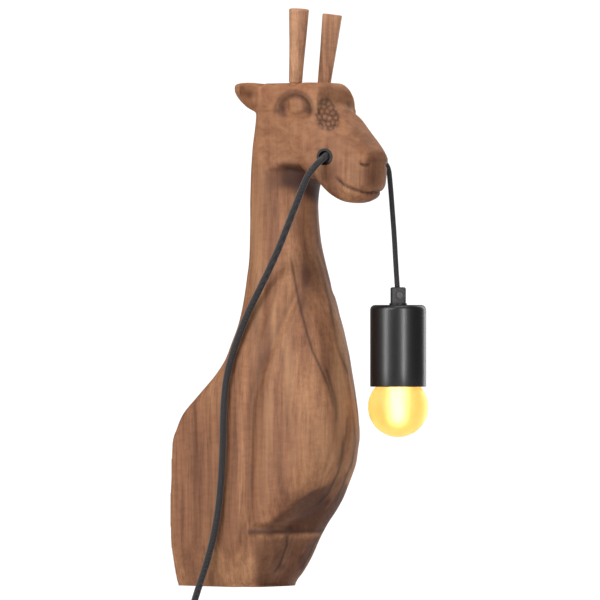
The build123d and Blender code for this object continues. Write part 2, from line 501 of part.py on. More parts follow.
outer, inner = glass_outline(0.0), glass_outline(0.9)
glass = revolved(outer + [(12.35, 234.0), (12.35, 237.5), (11.3, 237.5)] + inner[::-1], LAMP_X, LAMP_F)
parts["bulb_glass"] = glass
parts["bulb_cap"] = revolved([(CAP_R, 234.5), (CAP_R, CAP_TOP - 2.5), (10.5, CAP_TOP), (9.5, CAP_TOP), (12.3, CAP_TOP - 3.0), (12.45, 234.5)], LAMP_X, LAMP_F)
parts["bulb_insulator"] = revolved([(0, CAP_TOP - 2.0), (9.4, CAP_TOP - 2.0), (9.4, CAP_TOP), (10.3, CAP_TOP), (6.0, 262.0), (0, 262.0)], LAMP_X, LAMP_F)
parts["bulb_contact"] = cyl(LAMP_X, LAMP_F, 262.0, 263.2, 4.6)
stem = cyl(LAMP_X, LAMP_F, 222.0, 236.0, 6.0).fuse(cyl(LAMP_X, LAMP_F, 171.0, 223.0, 1.6))
parts["bulb_stem"] = stem
fil = []
for k in range(4):
    a = math.radians(45 + 90 * k)
    cx0, cf0 = 8.5 * math.cos(a), 8.5 * math.sin(a)
    lo = at(LAMP_X + 0.55 * cx0, LAMP_F + 0.55 * cf0, 171.5)
    hi = at(LAMP_X + 0.86 * cx0, LAMP_F + 0.86 * cf0, 219.0)
    fil.append(rod(lo, hi, 0.9))
parts["led_filaments"] = Compound(children=fil)

os.makedirs("parts", exist_ok=True)
for name, shape in parts.items():
    export_step(shape, f"parts/{name}.step")
print(len(parts), "nodes")
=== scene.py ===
import bpy, bmesh, math
import numpy as np
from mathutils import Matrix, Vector


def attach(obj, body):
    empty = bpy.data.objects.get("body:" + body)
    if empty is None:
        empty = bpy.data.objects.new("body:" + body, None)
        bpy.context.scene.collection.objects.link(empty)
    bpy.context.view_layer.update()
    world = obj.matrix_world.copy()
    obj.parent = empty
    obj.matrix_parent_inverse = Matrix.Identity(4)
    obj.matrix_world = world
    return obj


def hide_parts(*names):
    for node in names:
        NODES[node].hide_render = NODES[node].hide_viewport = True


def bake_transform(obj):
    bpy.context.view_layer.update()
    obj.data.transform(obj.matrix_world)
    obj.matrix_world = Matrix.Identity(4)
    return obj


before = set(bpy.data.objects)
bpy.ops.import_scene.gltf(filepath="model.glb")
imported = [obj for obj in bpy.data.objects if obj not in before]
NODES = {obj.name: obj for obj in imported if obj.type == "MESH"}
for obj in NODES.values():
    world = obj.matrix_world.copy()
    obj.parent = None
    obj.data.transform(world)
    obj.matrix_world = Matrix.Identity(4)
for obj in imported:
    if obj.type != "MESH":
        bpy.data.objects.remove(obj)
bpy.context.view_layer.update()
MM = 0.001
DROP_Z = 75.0                 # base of the block below the row origin, mm
C30, S30 = 0.788, 0.6157      # the photograph's viewing direction is (C30, S30, 0)


def at(x, f, z):
    """Row frame in metres from half width, distance from the wall and height above the base, all in mm."""
    return Vector((x * MM, -f * MM, (z - DROP_Z) * MM))


# ---------------------------------------------------------------- camera
scene = bpy.context.scene
look = Vector((C30, S30, 0.0)).normalized()
right = Vector((S30, -C30, 0.0)).normalized()
target = Vector((0.0, -0.1272, 0.2233))
cam_data = bpy.data.cameras.new("Camera")
cam = bpy.data.objects.new("Camera", cam_data)
scene.collection.objects.link(cam)
cam.location = target - look * 8.0
cam.rotation_mode = "QUATERNION"
cam.rotation_quaternion = look.to_track_quat("-Z", "Y")
cam_data.sensor_width = 36.0
cam_data.lens = 461.8
cam_data.clip_start, cam_data.clip_end = 0.05, 60.0
scene.camera = cam
scene.view_settings.view_transform = "Standard"
scene.view_settings.look = "None"


# ---------------------------------------------------------------- small kit
def new_object(name, verts, faces, smooth=True, sharp=None):
    me = bpy.data.meshes.new(name)
    me.from_pydata([tuple(v) for v in verts], [], [tuple(f) for f in faces])
    me.validate()
    me.update()
    ob = bpy.data.objects.new(name, me)
    scene.collection.objects.link(ob)
    if smooth:
        shade(ob, sharp)
    return ob


def shade(ob, sharp=None):
    me = ob.data
    me.polygons.foreach_set("use_smooth", np.ones(len(me.polygons), bool))
    if sharp is not None:
        bm = bmesh.new()
        bm.from_mesh(me)
        for e in bm.edges:
            e.smooth = not (len(e.link_faces) == 2 and e.calc_face_angle(0.0) > math.radians(sharp))
        bm.to_mesh(me)
        bm.free()
    me.update()


def lathe(name, profile, x, f, segs=96, sharp=38.0, closed=True):
    """Turned piece: profile of (radius, height above the base) in mm about an upright axis."""
    verts, faces, rings = [], [], []
    for r, z in profile:
        if r < 1e-6:
            rings.append([len(verts)])
            verts.append(at(x, f, z))
        else:
            ring = []
            for k in range(segs):
                a = 2 * math.pi * k / segs
                ring.append(len(verts))
                verts.append(at(x + r * math.cos(a), f + r * math.sin(a), z))
            rings.append(ring)
    pairs = list(zip(rings, rings[1:] + ([rings[0]] if closed and len(rings[0]) > 1 and len(rings[-1]) > 1 else [])))
    if not (closed and len(rings[0]) > 1 and len(rings[-1]) > 1):
        pairs = list(zip(rings, rings[1:]))
    for a, b in pairs:
        if len(a) == 1 and len(b) == 1:
            continue
        for k in range(segs):
            j = (k + 1) % segs
            if len(a) == 1:
                faces.append((a[0], b[k], b[j]))
            elif len(b) == 1:
                faces.append((a[k], b[0], a[j]))
            else:
                faces.append((a[k], b[k], b[j], a[j]))
    ob = new_object(name, verts, faces, True, sharp)
    fix_normals(ob)
    return ob


def fix_normals(ob):
    bm = bmesh.new()
    bm.from_mesh(ob.data)
    bmesh.ops.recalc_face_normals(bm, faces=bm.faces)
    bm.to_mesh(ob.data)
    bm.free()
    ob.data.update()


def smoothstep(a, b, x):
    t = np.clip((x - a) / (b - a), 0.0, 1.0)
    return t * t * (3 - 2 * t)


def gauss(d, s):
    return np.exp(-(d / s) ** 2)


def seg_dist(u, v, pts):
    """Distance of each point (u, v) to a polyline, and the share of its length where it is nearest."""
    best = np.full(u.shape, 1e9)
    share = np.zeros(u.shape)
    lens = [math.dist(a, b) for a, b in zip(pts, pts[1:])]
    total, run = sum(lens), 0.0
    for (a, b), l in zip(zip(pts, pts[1:]), lens):
        dx, dy = b[0] - a[0], b[1] - a[1]
        t = np.clip(((u - a[0]) * dx + (v - a[1]) * dy) / (l * l), 0, 1)
        d = np.hypot(u - a[0] - t * dx, v - a[1] - t * dy)
        better = d < best
        best = np.where(better, d, best)
        share = np.where(better, (run + t * l) / total, share)
        run += l
    return best, share


def wobble(x, y, z, seed, scale):
    """Smooth deterministic noise in -1..1 from a few sines."""
    rng = np.random.default_rng(seed)
    out = np.zeros(np.shape(x))
    for k in range(7):
        d = rng.normal(size=3)
        d /= np.linalg.norm(d)
        out = out + np.sin((x * d[0] + y * d[1] + z * d[2]) / scale * (0.7 + 0.25 * k) + rng.uniform(0, 6.28)) / (1 + 0.35 * k)
    return out / 3.2


def nurbs(name, points, radius=0.0, res=10, bevel_res=5):
    """Curve through the route's control points."""
    cu = bpy.data.curves.new(name, "CURVE")
    cu.dimensions = "3D"
    s = cu.splines.new("NURBS")
    s.points.add(len(points) - 1)
    for p, co in zip(s.points, points):
        p.co = (*co, 1.0)
    s.order_u = 3
    s.use_endpoint_u = True
    s.resolution_u = res
    cu.resolution_u = res
    cu.bevel_depth = radius
    cu.bevel_resolution = bevel_res
    cu.use_fill_caps = radius > 0
    ob = bpy.data.objects.new(name, cu)
    scene.collection.objects.link(ob)
    return ob


def line_of(points, res=10):
    """Points read from the route's own spline."""
    ob = nurbs("route_tmp", points, 0.0, res)
    dg = bpy.context.evaluated_depsgraph_get()
    me = bpy.data.meshes.new_from_object(ob.evaluated_get(dg))
    line = [v.co.copy() for v in me.vertices]
    bpy.data.meshes.remove(me)
    cu = ob.data
    bpy.data.objects.remove(ob)
    bpy.data.curves.remove(cu)
    return line


def tube_mesh(name, line, radius, segs=20):
    """Round tube along a line, with even frames and closed ends."""
    pts = [Vector(p) for p in line]
    tangents = []
    for i in range(len(pts)):
        a, b = pts[max(i - 1, 0)], pts[min(i + 1, len(pts) - 1)]
        tangents.append((b - a).normalized())
    n = tangents[0].orthogonal().normalized()
    verts, faces = [], []
    for i, (p, t) in enumerate(zip(pts, tangents)):
        n = (n - t * n.dot(t)).normalized()
        b = t.cross(n)
        for k in range(segs):
            a = 2 * math.pi * k / segs
            verts.append(p + (n * math.cos(a) + b * math.sin(a)) * radius)
    for i in range(len(pts) - 1):
        for k in range(segs):
            j = (k + 1) % segs
            faces.append((i * segs + k, i * segs + j, (i + 1) * segs + j, (i + 1) * segs + k))
    faces.append(tuple(range(segs))[::-1])
    faces.append(tuple(range((len(pts) - 1) * segs, len(pts) * segs)))
    ob = new_object(name, verts, faces, True, 50.0)
    fix_normals(ob)
    return ob


# ---------------------------------------------------------------- materials
def srgb(r, g, b):
    def one(c):
        c /= 255.0
        return c / 12.92 if c <= 0.04045 else ((c + 0.055) / 1.055) ** 2.4
    return (one(r), one(g), one(b), 1.0)


class Mat:
    def __init__(self, name):
        self.m = bpy.data.materials.new(name)
        self.m.use_nodes = True
        self.t = self.m.node_tree
        self.t.nodes.clear()
        self.out = self.t.nodes.new("ShaderNodeOutputMaterial")
        self.b = self.t.nodes.new("ShaderNodeBsdfPrincipled")
        self.t.links.new(self.b.outputs[0], self.out.inputs[0])
        self.tc = self.t.nodes.new("ShaderNodeTexCoord")

    def n(self, kind, **kw):
        node = self.t.nodes.new(kind)
        for k, v in kw.items():
            setattr(node, k, v)
        return node

    def link(self, a, b):
        self.t.links.new(a, b)

    def mapped(self, scale=(1, 1, 1), rot=(0, 0, 0), loc=(0, 0, 0)):
        mp = self.n("ShaderNodeMapping")
        mp.inputs["Scale"].default_value = scale
        mp.inputs["Rotation"].default_value = rot
        mp.inputs["Location"].default_value = loc
        self.link(self.tc.outputs["Object"], mp.inputs["Vector"])
        return mp.outputs[0]

    def noise(self, vec, scale, detail=4.0, rough=0.5, dist=0.0):
        nz = self.n("ShaderNodeTexNoise")
        nz.inputs["Scale"].default_value = scale
        nz.inputs["Detail"].default_value = detail
        nz.inputs["Roughness"].default_value = rough
        nz.inputs["Distortion"].default_value = dist
        self.link(vec, nz.inputs["Vector"])
        return nz.outputs["Fac"]

    def ramp(self, fac, stops, interp="LINEAR"):
        r = self.n("ShaderNodeValToRGB")
        r.color_ramp.interpolation = interp
        e = r.color_ramp.elements
        while len(e) < len(stops):
            e.new(0.5)
        for el, (p, c) in zip(e, stops):
            el.position = p
            el.color = c if len(c) == 4 else (*c, 1.0)
        self.link(fac, r.inputs[0])
        return r.outputs[0]

    def math(self, op, a, b=None, clamp=False):
        m = self.n("ShaderNodeMath", operation=op)
        m.use_clamp = clamp
        for i, v in enumerate((a, b)):
            if v is None:
                continue
            if isinstance(v, (int, float)):
                m.inputs[i].default_value = v
            else:
                self.link(v, m.inputs[i])
        return m.outputs[0]

    def mix(self, fac, a, b, blend="MIX"):
        m = self.n("ShaderNodeMix", data_type="RGBA", blend_type=blend)
        for sock, v in ((m.inputs[0], fac), (m.inputs[6], a), (m.inputs[7], b)):
            if isinstance(v, (int, float)):
                sock.default_value = v
            elif isinstance(v, tuple):
                sock.default_value = v
            else:
                self.link(v, sock)
        return m.outputs[2]

    def bump(self, height, strength, distance, normal=None):
        b = self.n("ShaderNodeBump")
        b.inputs["Strength"].default_value = strength
        b.inputs["Distance"].default_value = distance
        self.link(height, b.inputs["Height"])
        if normal is not None:
            self.link(normal, b.inputs["Normal"])
        self.link(b.outputs[0], self.b.inputs["Normal"])
        return b.outputs[0]

    def attr(self, name):
        a = self.n("ShaderNodeAttribute")
        a.attribute_name = name
        return a.outputs["Fac"]

    def rough(self, fac, lo, hi):
        m = self.n("ShaderNodeMapRange")
        m.inputs["To Min"].default_value = lo
        m.inputs["To Max"].default_value = hi
        self.link(fac, m.inputs["Value"])
        self.link(m.outputs[0], self.b.inputs["Roughness"])

    def set(self, **kw):
        names = {"base": "Base Color", "metal": "Metallic", "rough": "Roughness", "ior": "IOR", "trans": "Transmission Weight",
                 "coat": "Coat Weight", "coat_rough": "Coat Roughness", "spec": "Specular IOR Level", "sheen": "Sheen Weight",
                 "sheen_rough": "Sheen Roughness", "emit": "Emission Color", "emit_s": "Emission Strength", "alpha": "Alpha",
                 "sheen_tint": "Sheen Tint", "sss": "Subsurface Weight"}
        for k, v in kw.items():
            self.b.inputs[names[k]].default_value = v


def wood(name, attrs, light=0.0):
    """Oiled hardwood with upright grain: broad bands, fibres, pores, and darker figure and painted shade where the
    attributes say.
    """
    m = Mat(name)
    warp = m.n("ShaderNodeTexNoise")
    warp.inputs["Scale"].default_value = 9.0
    warp.inputs["Detail"].default_value = 2.0
    m.link(m.mapped((1, 1, 0.35)), warp.inputs["Vector"])
    add = m.n("ShaderNodeVectorMath", operation="MULTIPLY_ADD")
    m.link(warp.outputs["Color"], add.inputs[0])
    add.inputs[1].default_value = (0.022, 0.022, 0.0)
    m.link(m.tc.outputs["Object"], add.inputs[2])

    def stretched(sx, sz):
        mp = m.n("ShaderNodeMapping")
        mp.inputs["Scale"].default_value = (sx, sx, sz)
        m.link(add.outputs[0], mp.inputs["Vector"])
        return mp.outputs[0]

    bands = m.noise(stretched(1.0, 0.10), 34.0, 3.0, 0.55, 0.4)
    fibres = m.noise(stretched(1.0, 0.035), 240.0, 5.0, 0.65, 0.3)
    fine = m.noise(stretched(1.0, 0.03), 950.0, 3.0, 0.6)
    cross = m.noise(stretched(1.0, 2.4), 90.0, 3.0, 0.6, 0.5)
    base = m.ramp(bands, [(0.30, srgb(122 + light, 80 + light, 58 + light)), (0.45, srgb(150 + light, 103 + light, 74 + light)),
                          (0.56, srgb(166 + light, 117 + light, 84 + light)), (0.72, srgb(182 + light, 134 + light, 97 + light))])
    fib = m.ramp(fibres, [(0.32, (0.62, 0.60, 0.58)), (0.55, (1.0, 1.0, 1.0)), (0.75, (1.16, 1.15, 1.12))])
    calm = m.attr("calm") if attrs else None
    steady = m.math("SUBTRACT", 1.0, m.math("MULTIPLY", calm, 0.62)) if attrs else 1.0
    if attrs:
        mott = m.noise(stretched(1.0, 1.9), 46.0, 4.0, 0.6, 0.8)
        flat = m.ramp(mott, [(0.32, srgb(134, 86, 59)), (0.5, srgb(155, 107, 76)), (0.68, srgb(169, 120, 87))])
        base = m.mix(m.math("MULTIPLY", calm, 0.8), base, flat)
    col = m.mix(m.math("MULTIPLY", steady, 0.85) if attrs else 0.85, base, fib, "MULTIPLY")
    fn = m.ramp(fine, [(0.30, (0.72, 0.68, 0.66)), (0.5, (1.0, 1.0, 1.0)), (0.8, (1.1, 1.1, 1.1))])
    col = m.mix(m.math("MULTIPLY", steady, 0.6) if attrs else 0.6, col, fn, "MULTIPLY")
    cr = m.ramp(cross, [(0.35, (0.80, 0.77, 0.74)), (0.6, (1.08, 1.08, 1.07))])
    col = m.mix(0.5, col, cr, "MULTIPLY")
    if attrs:
        speck = m.noise(m.mapped((1, 1, 0.45)), 620.0, 2.0, 0.7)
        sp = m.ramp(speck, [(0.40, (0.55, 0.55, 0.55)), (0.60, (1, 1, 1))])
        # the two darkening attributes below carry the wood's darker figure and grain lines, and also painted shade
        # under the jaw and breast, on the legs' front, round the eye, in the carved grooves and in the cord bores
        dark = m.math("MULTIPLY", m.attr("dark"), m.ramp(bands, [(0.2, (1, 1, 1)), (0.8, (0.78, 0.78, 0.78))]))
        dk = m.mix(0.5, srgb(84, 50, 36), sp, "MULTIPLY")
        col = m.mix(dark, col, dk)
        col = m.mix(m.attr("veins_and_shade"), col, srgb(52, 31, 24))
        col = m.mix(m.attr("pale"), col, srgb(196, 152, 112))
    m.link(col, m.b.inputs["Base Color"])
    m.set(spec=0.15)
    m.rough(fibres, 0.70, 0.50)
    height = m.math("ADD", m.math("MULTIPLY", fibres, 0.6), m.math("MULTIPLY", fine, 0.5))
    m.bump(height, 0.35, 0.0006)
    return m.m


def textile(name):
    m = Mat(name)
    w1 = m.n("ShaderNodeTexWave", wave_type="BANDS", bands_direction="DIAGONAL")
    w1.inputs["Scale"].default_value = 260.0
    w1.inputs["Distortion"].default_value = 0.6
    m.link(m.mapped((1, 1, 1)), w1.inputs["Vector"])
    w2 = m.n("ShaderNodeTexWave", wave_type="BANDS", bands_direction="DIAGONAL")
    w2.inputs["Scale"].default_value = 260.0
    w2.inputs["Distortion"].default_value = 0.6
    m.link(m.mapped((1, 1, -1)), w2.inputs["Vector"])
    weave = m.math("MULTIPLY", w1.outputs["Fac"], w2.outputs["Fac"])
    fluff = m.noise(m.mapped(), 1500.0, 2.0, 0.7)
    col = m.ramp(m.math("ADD", m.math("MULTIPLY", weave, 0.6), m.math("MULTIPLY", fluff, 0.4)),
                 [(0.1, srgb(24, 22, 23)), (0.5, srgb(46, 42, 43)), (0.9, srgb(70, 65, 66))])
    m.link(col, m.b.inputs["Base Color"])
    m.set(rough=0.8, sheen=0.35, sheen_rough=0.45, spec=0.25)
    m.bump(m.math("ADD", weave, m.math("MULTIPLY", fluff, 0.4)), 0.6, 0.0004)
    return m.m


def plastic(name, rgb, rough=0.4, grain=0.15, coat=0.0, spec=0.45):
    m = Mat(name)
    nz = m.noise(m.mapped(), 900.0, 3.0, 0.6)
    lo = tuple(c * 0.82 for c in rgb[:3]) + (1.0,)
    hi = tuple(min(1.0, c * 1.12) for c in rgb[:3]) + (1.0,)
    m.link(m.ramp(m.noise(m.mapped(), 40.0, 3.0), [(0.3, lo), (0.7, hi)]), m.b.inputs["Base Color"])
    m.rough(nz, rough - 0.05, rough + 0.08)
    m.set(spec=spec, coat=coat, coat_rough=0.08)
    m.bump(nz, grain, 0.0002)
    return m.m


def metal(name, rgb, rough=0.25, brushed=False):
    m = Mat(name)
    vec = m.mapped((1, 1, 30) if brushed else (1, 1, 1))
    nz = m.noise(vec, 160.0 if brushed else 350.0, 4.0, 0.6)
    lo = tuple(c * 0.8 for c in rgb[:3]) + (1.0,)
    m.link(m.ramp(nz, [(0.3, lo), (0.65, rgb)]), m.b.inputs["Base Color"])
    m.set(metal=1.0)
    m.rough(nz, rough, rough + 0.18)
    m.bump(nz, 0.08, 0.0002)
    return m.m


def gloss_black(name):
    m = Mat(name)
    peel = m.noise(m.mapped(), 55.0, 2.0, 0.5)
    fine = m.noise(m.mapped(), 420.0, 2.0, 0.5)
    m.link(m.ramp(fine, [(0.3, srgb(14, 12, 13)), (0.7, srgb(22, 19, 20))]), m.b.inputs["Base Color"])
    m.set(spec=0.28, coat=0.24, coat_rough=0.26)
    m.rough(fine, 0.36, 0.44)
    m.bump(peel, 0.05, 0.0006)
    return m.m


M_WOOD = wood("carved_hardwood", True)
M_HORN = wood("horn_hardwood", False, 22.0)
M_FLEX = textile("black_textile")
M_CUP = gloss_black("glossy_black_enamel")
M_GRIP = plastic("black_nylon", srgb(34, 31, 32), 0.42, 0.12, 0.0, 0.25)
M_RUBBER = plastic("black_rubber_bush", srgb(13, 12, 13), 0.34, 0.1, 0.0, 0.14)
M_SWITCH = plastic("black_switch_shell", srgb(24, 23, 24), 0.36, 0.3)
M_PLUG = plastic("black_plug_shell", srgb(28, 27, 28), 0.5, 0.35)
M_SOCKET = plastic("black_phenolic", srgb(26, 22, 20), 0.42, 0.2)
M_ZINC = metal("zinc_plate", srgb(186, 188, 190), 0.30)
M_BRASS = metal("brass", srgb(214, 176, 96), 0.24)
M_NICKEL = metal("nickel", srgb(205, 203, 198), 0.18)
M_STEELSCREW = metal("blackened_screw", srgb(58, 55, 56), 0.32)
M_LEADS = plastic("lead_insulation", srgb(40, 60, 120), 0.45, 0.05)

# ---------------------------------------------------------------- cords
NEAR_EXIT, FAR_EXIT = at(-32.2, 184.8, 446.0), at(28.4, 200.4, 446.0)
OUT_DIR = Vector((-0.87, 0.05, -0.49)).normalized()
FAR_DIR = Vector((0.92, -0.37, -0.12)).normalized()
supply = [
    NEAR_EXIT, NEAR_EXIT + OUT_DIR * 0.015,
    at(-56.0, 180.0, 425.5), at(-60.0, 173.0, 405.0), at(-56.0, 157.0, 379.4), at(-51.0, 136.3, 346.0),
    at(-48.5, 114.8, 314.0), at(-50.8, 98.0, 284.8), at(-55.8, 86.3, 253.6), at(-61.0, 77.8, 220.4),
    at(-63.4, 75.6, 184.0), at(-64.2, 75.8, 142.4), at(-65.2, 73.9, 105.0), at(-66.2, 68.7, 64.4),
    at(-65.2, 55.4, 25.0), at(-63.0, 41.0, -4.5), at(-61.0, 33.6, -20.0), at(-60.0, 31.0, -35.0),
    at(-60.0, 31.0, -55.0), at(-60.0, 31.0, -73.0), at(-60.0, 31.0, -86.0),
]
# the put-away length: five runs down the left and four up the right of a tied hank, a diameter apart
H_TOP, H_BOT, H_W, LANE = -111.5, -209.5, 21.0, 6.2


def hank_lane(k):
    return 31.0 + (k - 2) * LANE, 3.6 * (k % 2)


f0, _ = hank_lane(0)
supply += [at(-61.5, 28.0, -96.0), at(-66.0, 21.5, -106.0), at(-75.0, f0 - 0.6, -117.0), at(-81.0, f0, -131.0)]
for k in range(5):
    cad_, inset = hank_lane(k)
    hw = H_W - inset
    if k:
        cz = H_TOP - hw - inset
        f_prev, _ = hank_lane(k - 1)
        supply += [at(-60.0 + hw, f_prev + 0.55 * LANE, cz - 14.0)]
        for a in (22.5, 67.5, 112.5, 157.5):
            r = hw / math.cos(math.radians(22.5))
            supply.append(at(-60.0 + r * math.cos(math.radians(a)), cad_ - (0.2 if a < 90 else 0.0) * LANE, cz + r * math.sin(math.radians(a))))
        supply.append(at(-60.0 - hw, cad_, cz - 14.0))
    if k < 4:
        bz = H_BOT + hw + inset
        supply.append(at(-60.0 - hw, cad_, (H_TOP + H_BOT) / 2 - 4.0))
        supply.append(at(-60.0 - hw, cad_, bz + 12.0))
        for a in (202.5, 247.5, 292.5, 337.5):
            r = hw / math.cos(math.radians(22.5))
            supply.append(at(-60.0 + r * math.cos(math.radians(a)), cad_, bz + r * math.sin(math.radians(a))))
        supply.append(at(-60.0 + hw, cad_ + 0.15 * LANE, bz + 14.0))
f4, _ = hank_lane(4)
supply += [at(-81.0, f4, -161.0), at(-81.0, f4, -185.0), at(-77.0, f4 + 0.6, -201.0), at(-67.5, 42.0, -214.0),
           at(-61.5, 36.0, -224.0), at(-60.0, 31.4, -233.0), at(-60.0, 31.0, -239.5), at(-60.0, 31.0, -245.0)]
supply_flex = nurbs("supply_flex", supply, 0.0035, 8, 5)
supply_flex.data.materials.append(M_FLEX)
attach(supply_flex, "statue")
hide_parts("flex_drop", "flex_mid", "flex_hank", "flex_tail")

arc_pts = [FAR_EXIT - FAR_DIR * 0.009, FAR_EXIT, FAR_EXIT + FAR_DIR * 0.010, at(46.2, 207.5, 437.0), at(47.6, 208.5, 423.0), at(48.3, 209.6, 407.0)]
pend_pts = [at(48.3, 209.6, 407.0), at(48.6, 210.4, 396.0), at(50.2, 212.5, 361.0), at(51.3, 213.6, 330.0), at(52.2, 215.7, 299.0)]
arc_line, pend_line = line_of(arc_pts, 14), line_of(pend_pts, 16)
exit_flex = tube_mesh("hanging_flex_upper", arc_line, 0.0027)
drop_flex = tube_mesh("hanging_flex_lower", pend_line, 0.0027)
for o in (exit_flex, drop_flex):
    o.data.materials.append(M_FLEX)
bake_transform(exit_flex)
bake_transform(drop_flex)
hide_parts("flex_exit_arc", "flex_link")
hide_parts("pendant_flex")


# ---------------------------------------------------------------- the carved block
BODY = [
    (0.0, 45.0, 4.0, 0.0, 78.0, 35.5, 100.8, 3.40), (3.6, 47.5, 4.0, 0.0, 79.5, 40.5, 99.3, 3.39),
    (13.5, 50.9, 4.0, 0.0, 83.4, 43.9, 107.4, 3.35), (30.1, 55.1, 4.0, 0.0, 88.0, 48.1, 118.1, 3.28),
    (46.8, 58.5, 4.0, 0.0, 91.4, 51.5, 126.6, 3.21), (63.4, 59.0, 4.0, 0.0, 93.6, 52.4, 138.8, 3.14),
    (80.0, 59.2, 4.0, 0.0, 95.6, 54.9, 153.0, 3.07), (96.7, 59.0, 4.0, 0.0, 97.6, 56.2, 165.8, 3.00),
    (113.3, 58.0, 4.0, 0.0, 98.2, 56.1, 175.6, 2.93), (129.9, 57.4, 4.0, 0.0, 98.4, 55.7, 183.6, 2.86),
    (146.6, 56.6, 4.4, 0.0, 98.6, 54.8, 187.7, 2.80), (154.9, 56.5, 5.0, 1.2, 98.7, 54.9, 189.3, 2.77),
    (163.2, 56.5, 6.9, 4.2, 98.8, 54.9, 189.5, 2.74), (171.5, 56.5, 8.9, 7.1, 99.0, 55.0, 188.8, 2.71),
    (179.8, 56.4, 11.4, 11.0, 99.1, 54.9, 188.4, 2.68), (188.1, 56.2, 14.1, 17.4, 99.2, 54.8, 187.4, 2.64),
    (196.5, 55.9, 17.0, 24.9, 99.3, 54.5, 186.4, 2.61), (208.9, 55.1, 21.0, 35.5, 99.5, 53.9, 184.6, 2.58),
    (221.4, 54.0, 24.0, 46.2, 99.6, 52.8, 182.2, 2.56), (238.0, 52.0, 28.0, 55.8, 99.8, 50.9, 179.6, 2.52),
    (254.7, 49.1, 29.5, 60.7, 100.3, 48.2, 175.8, 2.49), (271.3, 45.9, 31.0, 65.4, 101.6, 45.4, 171.4, 2.46),
    (287.9, 43.0, 31.0, 68.4, 102.8, 42.8, 165.4, 2.42), (304.6, 40.1, 31.0, 70.0, 106.0, 40.1, 159.4, 2.40),
    (321.2, 37.8, 30.6, 71.1, 106.5, 37.8, 154.5, 2.40), (337.8, 35.5, 30.0, 72.1, 107.0, 35.5, 149.6, 2.40),
    (362.8, 34.2, 29.0, 72.7, 107.0, 34.2, 142.7, 2.40), (396.0, 32.4, 29.0, 71.7, 104.0, 32.4, 140.6, 2.40),
]
HEAD = [
    ((73.0, 424.0), (143.0, 417.0), 32.2, 28.0, 2.4), ((76.5, 455.0), (150.0, 424.0), 32.0, 25.0, 2.5),
    ((84.5, 489.0), (157.0, 424.0), 32.0, 21.0, 2.6), ((89.5, 516.0), (163.0, 422.0), 32.8, 15.0, 2.8),
    ((102.0, 523.5), (167.0, 419.5), 33.6, 11.0, 3.0), ((125.0, 523.5), (171.0, 416.5), 34.0, 11.0, 3.2),
    ((150.0, 523.5), (175.0, 411.0), 33.8, 13.0, 3.2), ((166.5, 523.0), (180.0, 406.0), 33.0, 17.0, 3.2),
    ((172.5, 518.8), (184.0, 403.4), 32.6, 18.0, 3.1), ((174.2, 503.0), (188.0, 401.5), 32.0, 19.0, 3.0),
    ((191.8, 488.5), (194.0, 399.3), 30.2, 20.0, 3.0), ((204.8, 475.6), (203.0, 398.3), 27.4, 18.0, 2.8),
    ((217.0, 464.2), (211.5, 398.9), 24.8, 16.0, 2.6), ((224.6, 456.2), (218.5, 402.6), 22.6, 14.5, 2.5),
    ((228.6, 450.6), (223.5, 408.5), 19.6, 12.5, 2.3), ((229.4, 444.8), (227.4, 415.5), 15.2, 10.0, 2.2),
    ((230.4, 440.0), (229.6, 424.0), 9.5, 6.5, 2.0),
]


def sp(c, p):
    return math.copysign(abs(c) ** (2.0 / p), c)


def outline(w, rb, fb, f1, wf, ff, p, n=18):
    pts = []
    for i in range(2 * n + 1):
        a = math.pi * i / (2 * n)
        pts.append((wf * sp(math.cos(a), p), f1 + 2.0 + (ff - f1 - 2.0) * sp(math.sin(a), p)))
    pts.append((-w, f1 - 2.0))
    for i in range(9):
        a = math.pi + math.pi / 2 * i / 8
        pts.append((-(w - rb) + rb * math.cos(a), fb + rb + rb * math.sin(a)))
    for i in range(9):
        a = 1.5 * math.pi + math.pi / 2 * i / 8
        pts.append(((w - rb) + rb * math.cos(a), fb + rb + rb * math.sin(a)))
    pts.append((w, f1 - 2.0))
    return pts


def key_rings():
    rings = []
    for z, w, rb, fb, f1, wf, ff, p in BODY:
        rings.append([(x, f, z) for x, f in outline(w, rb, fb, f1, wf, ff, p)])
    for (nf, nz), (tf, tz), w, rb, p in HEAD:
        length = math.hypot(tf - nf, tz - nz)
        df, dz = (tf - nf) / length, (tz - nz) / length
        rings.append([(x, nf + v * df, nz + v * dz) for x, v in outline(w, rb, 0.0, 0.52 * length, w, length, p)])
    return np.array(rings)


def monotone(t, y, ts):
    """Smooth interpolation of each column of y through t that never overshoots."""
    h = np.diff(t)
    d = np.diff(y, axis=0) / h[:, None]
    m = np.zeros_like(y)
    w1, w2 = (2 * h[1:] + h[:-1])[:, None], (h[1:] + 2 * h[:-1])[:, None]
    with np.errstate(divide="ignore", invalid="ignore"):
        hm = (w1 + w2) / (w1 / d[:-1] + w2 / d[1:])
    m[1:-1] = np.where(d[:-1] * d[1:] > 0, hm, 0.0)
    m[0], m[-1] = d[0], d[-1]
    k = np.clip(np.searchsorted(t, ts, side="right") - 1, 0, len(t) - 2)
    s = ((ts - t[k]) / h[k])[:, None]
    hk = h[k][:, None]
    return ((1 + 2 * s) * (1 - s) ** 2 * y[k] + s * (1 - s) ** 2 * hk * m[k]
            + s * s * (3 - 2 * s) * y[k + 1] + s * s * (s - 1) * hk * m[k + 1])


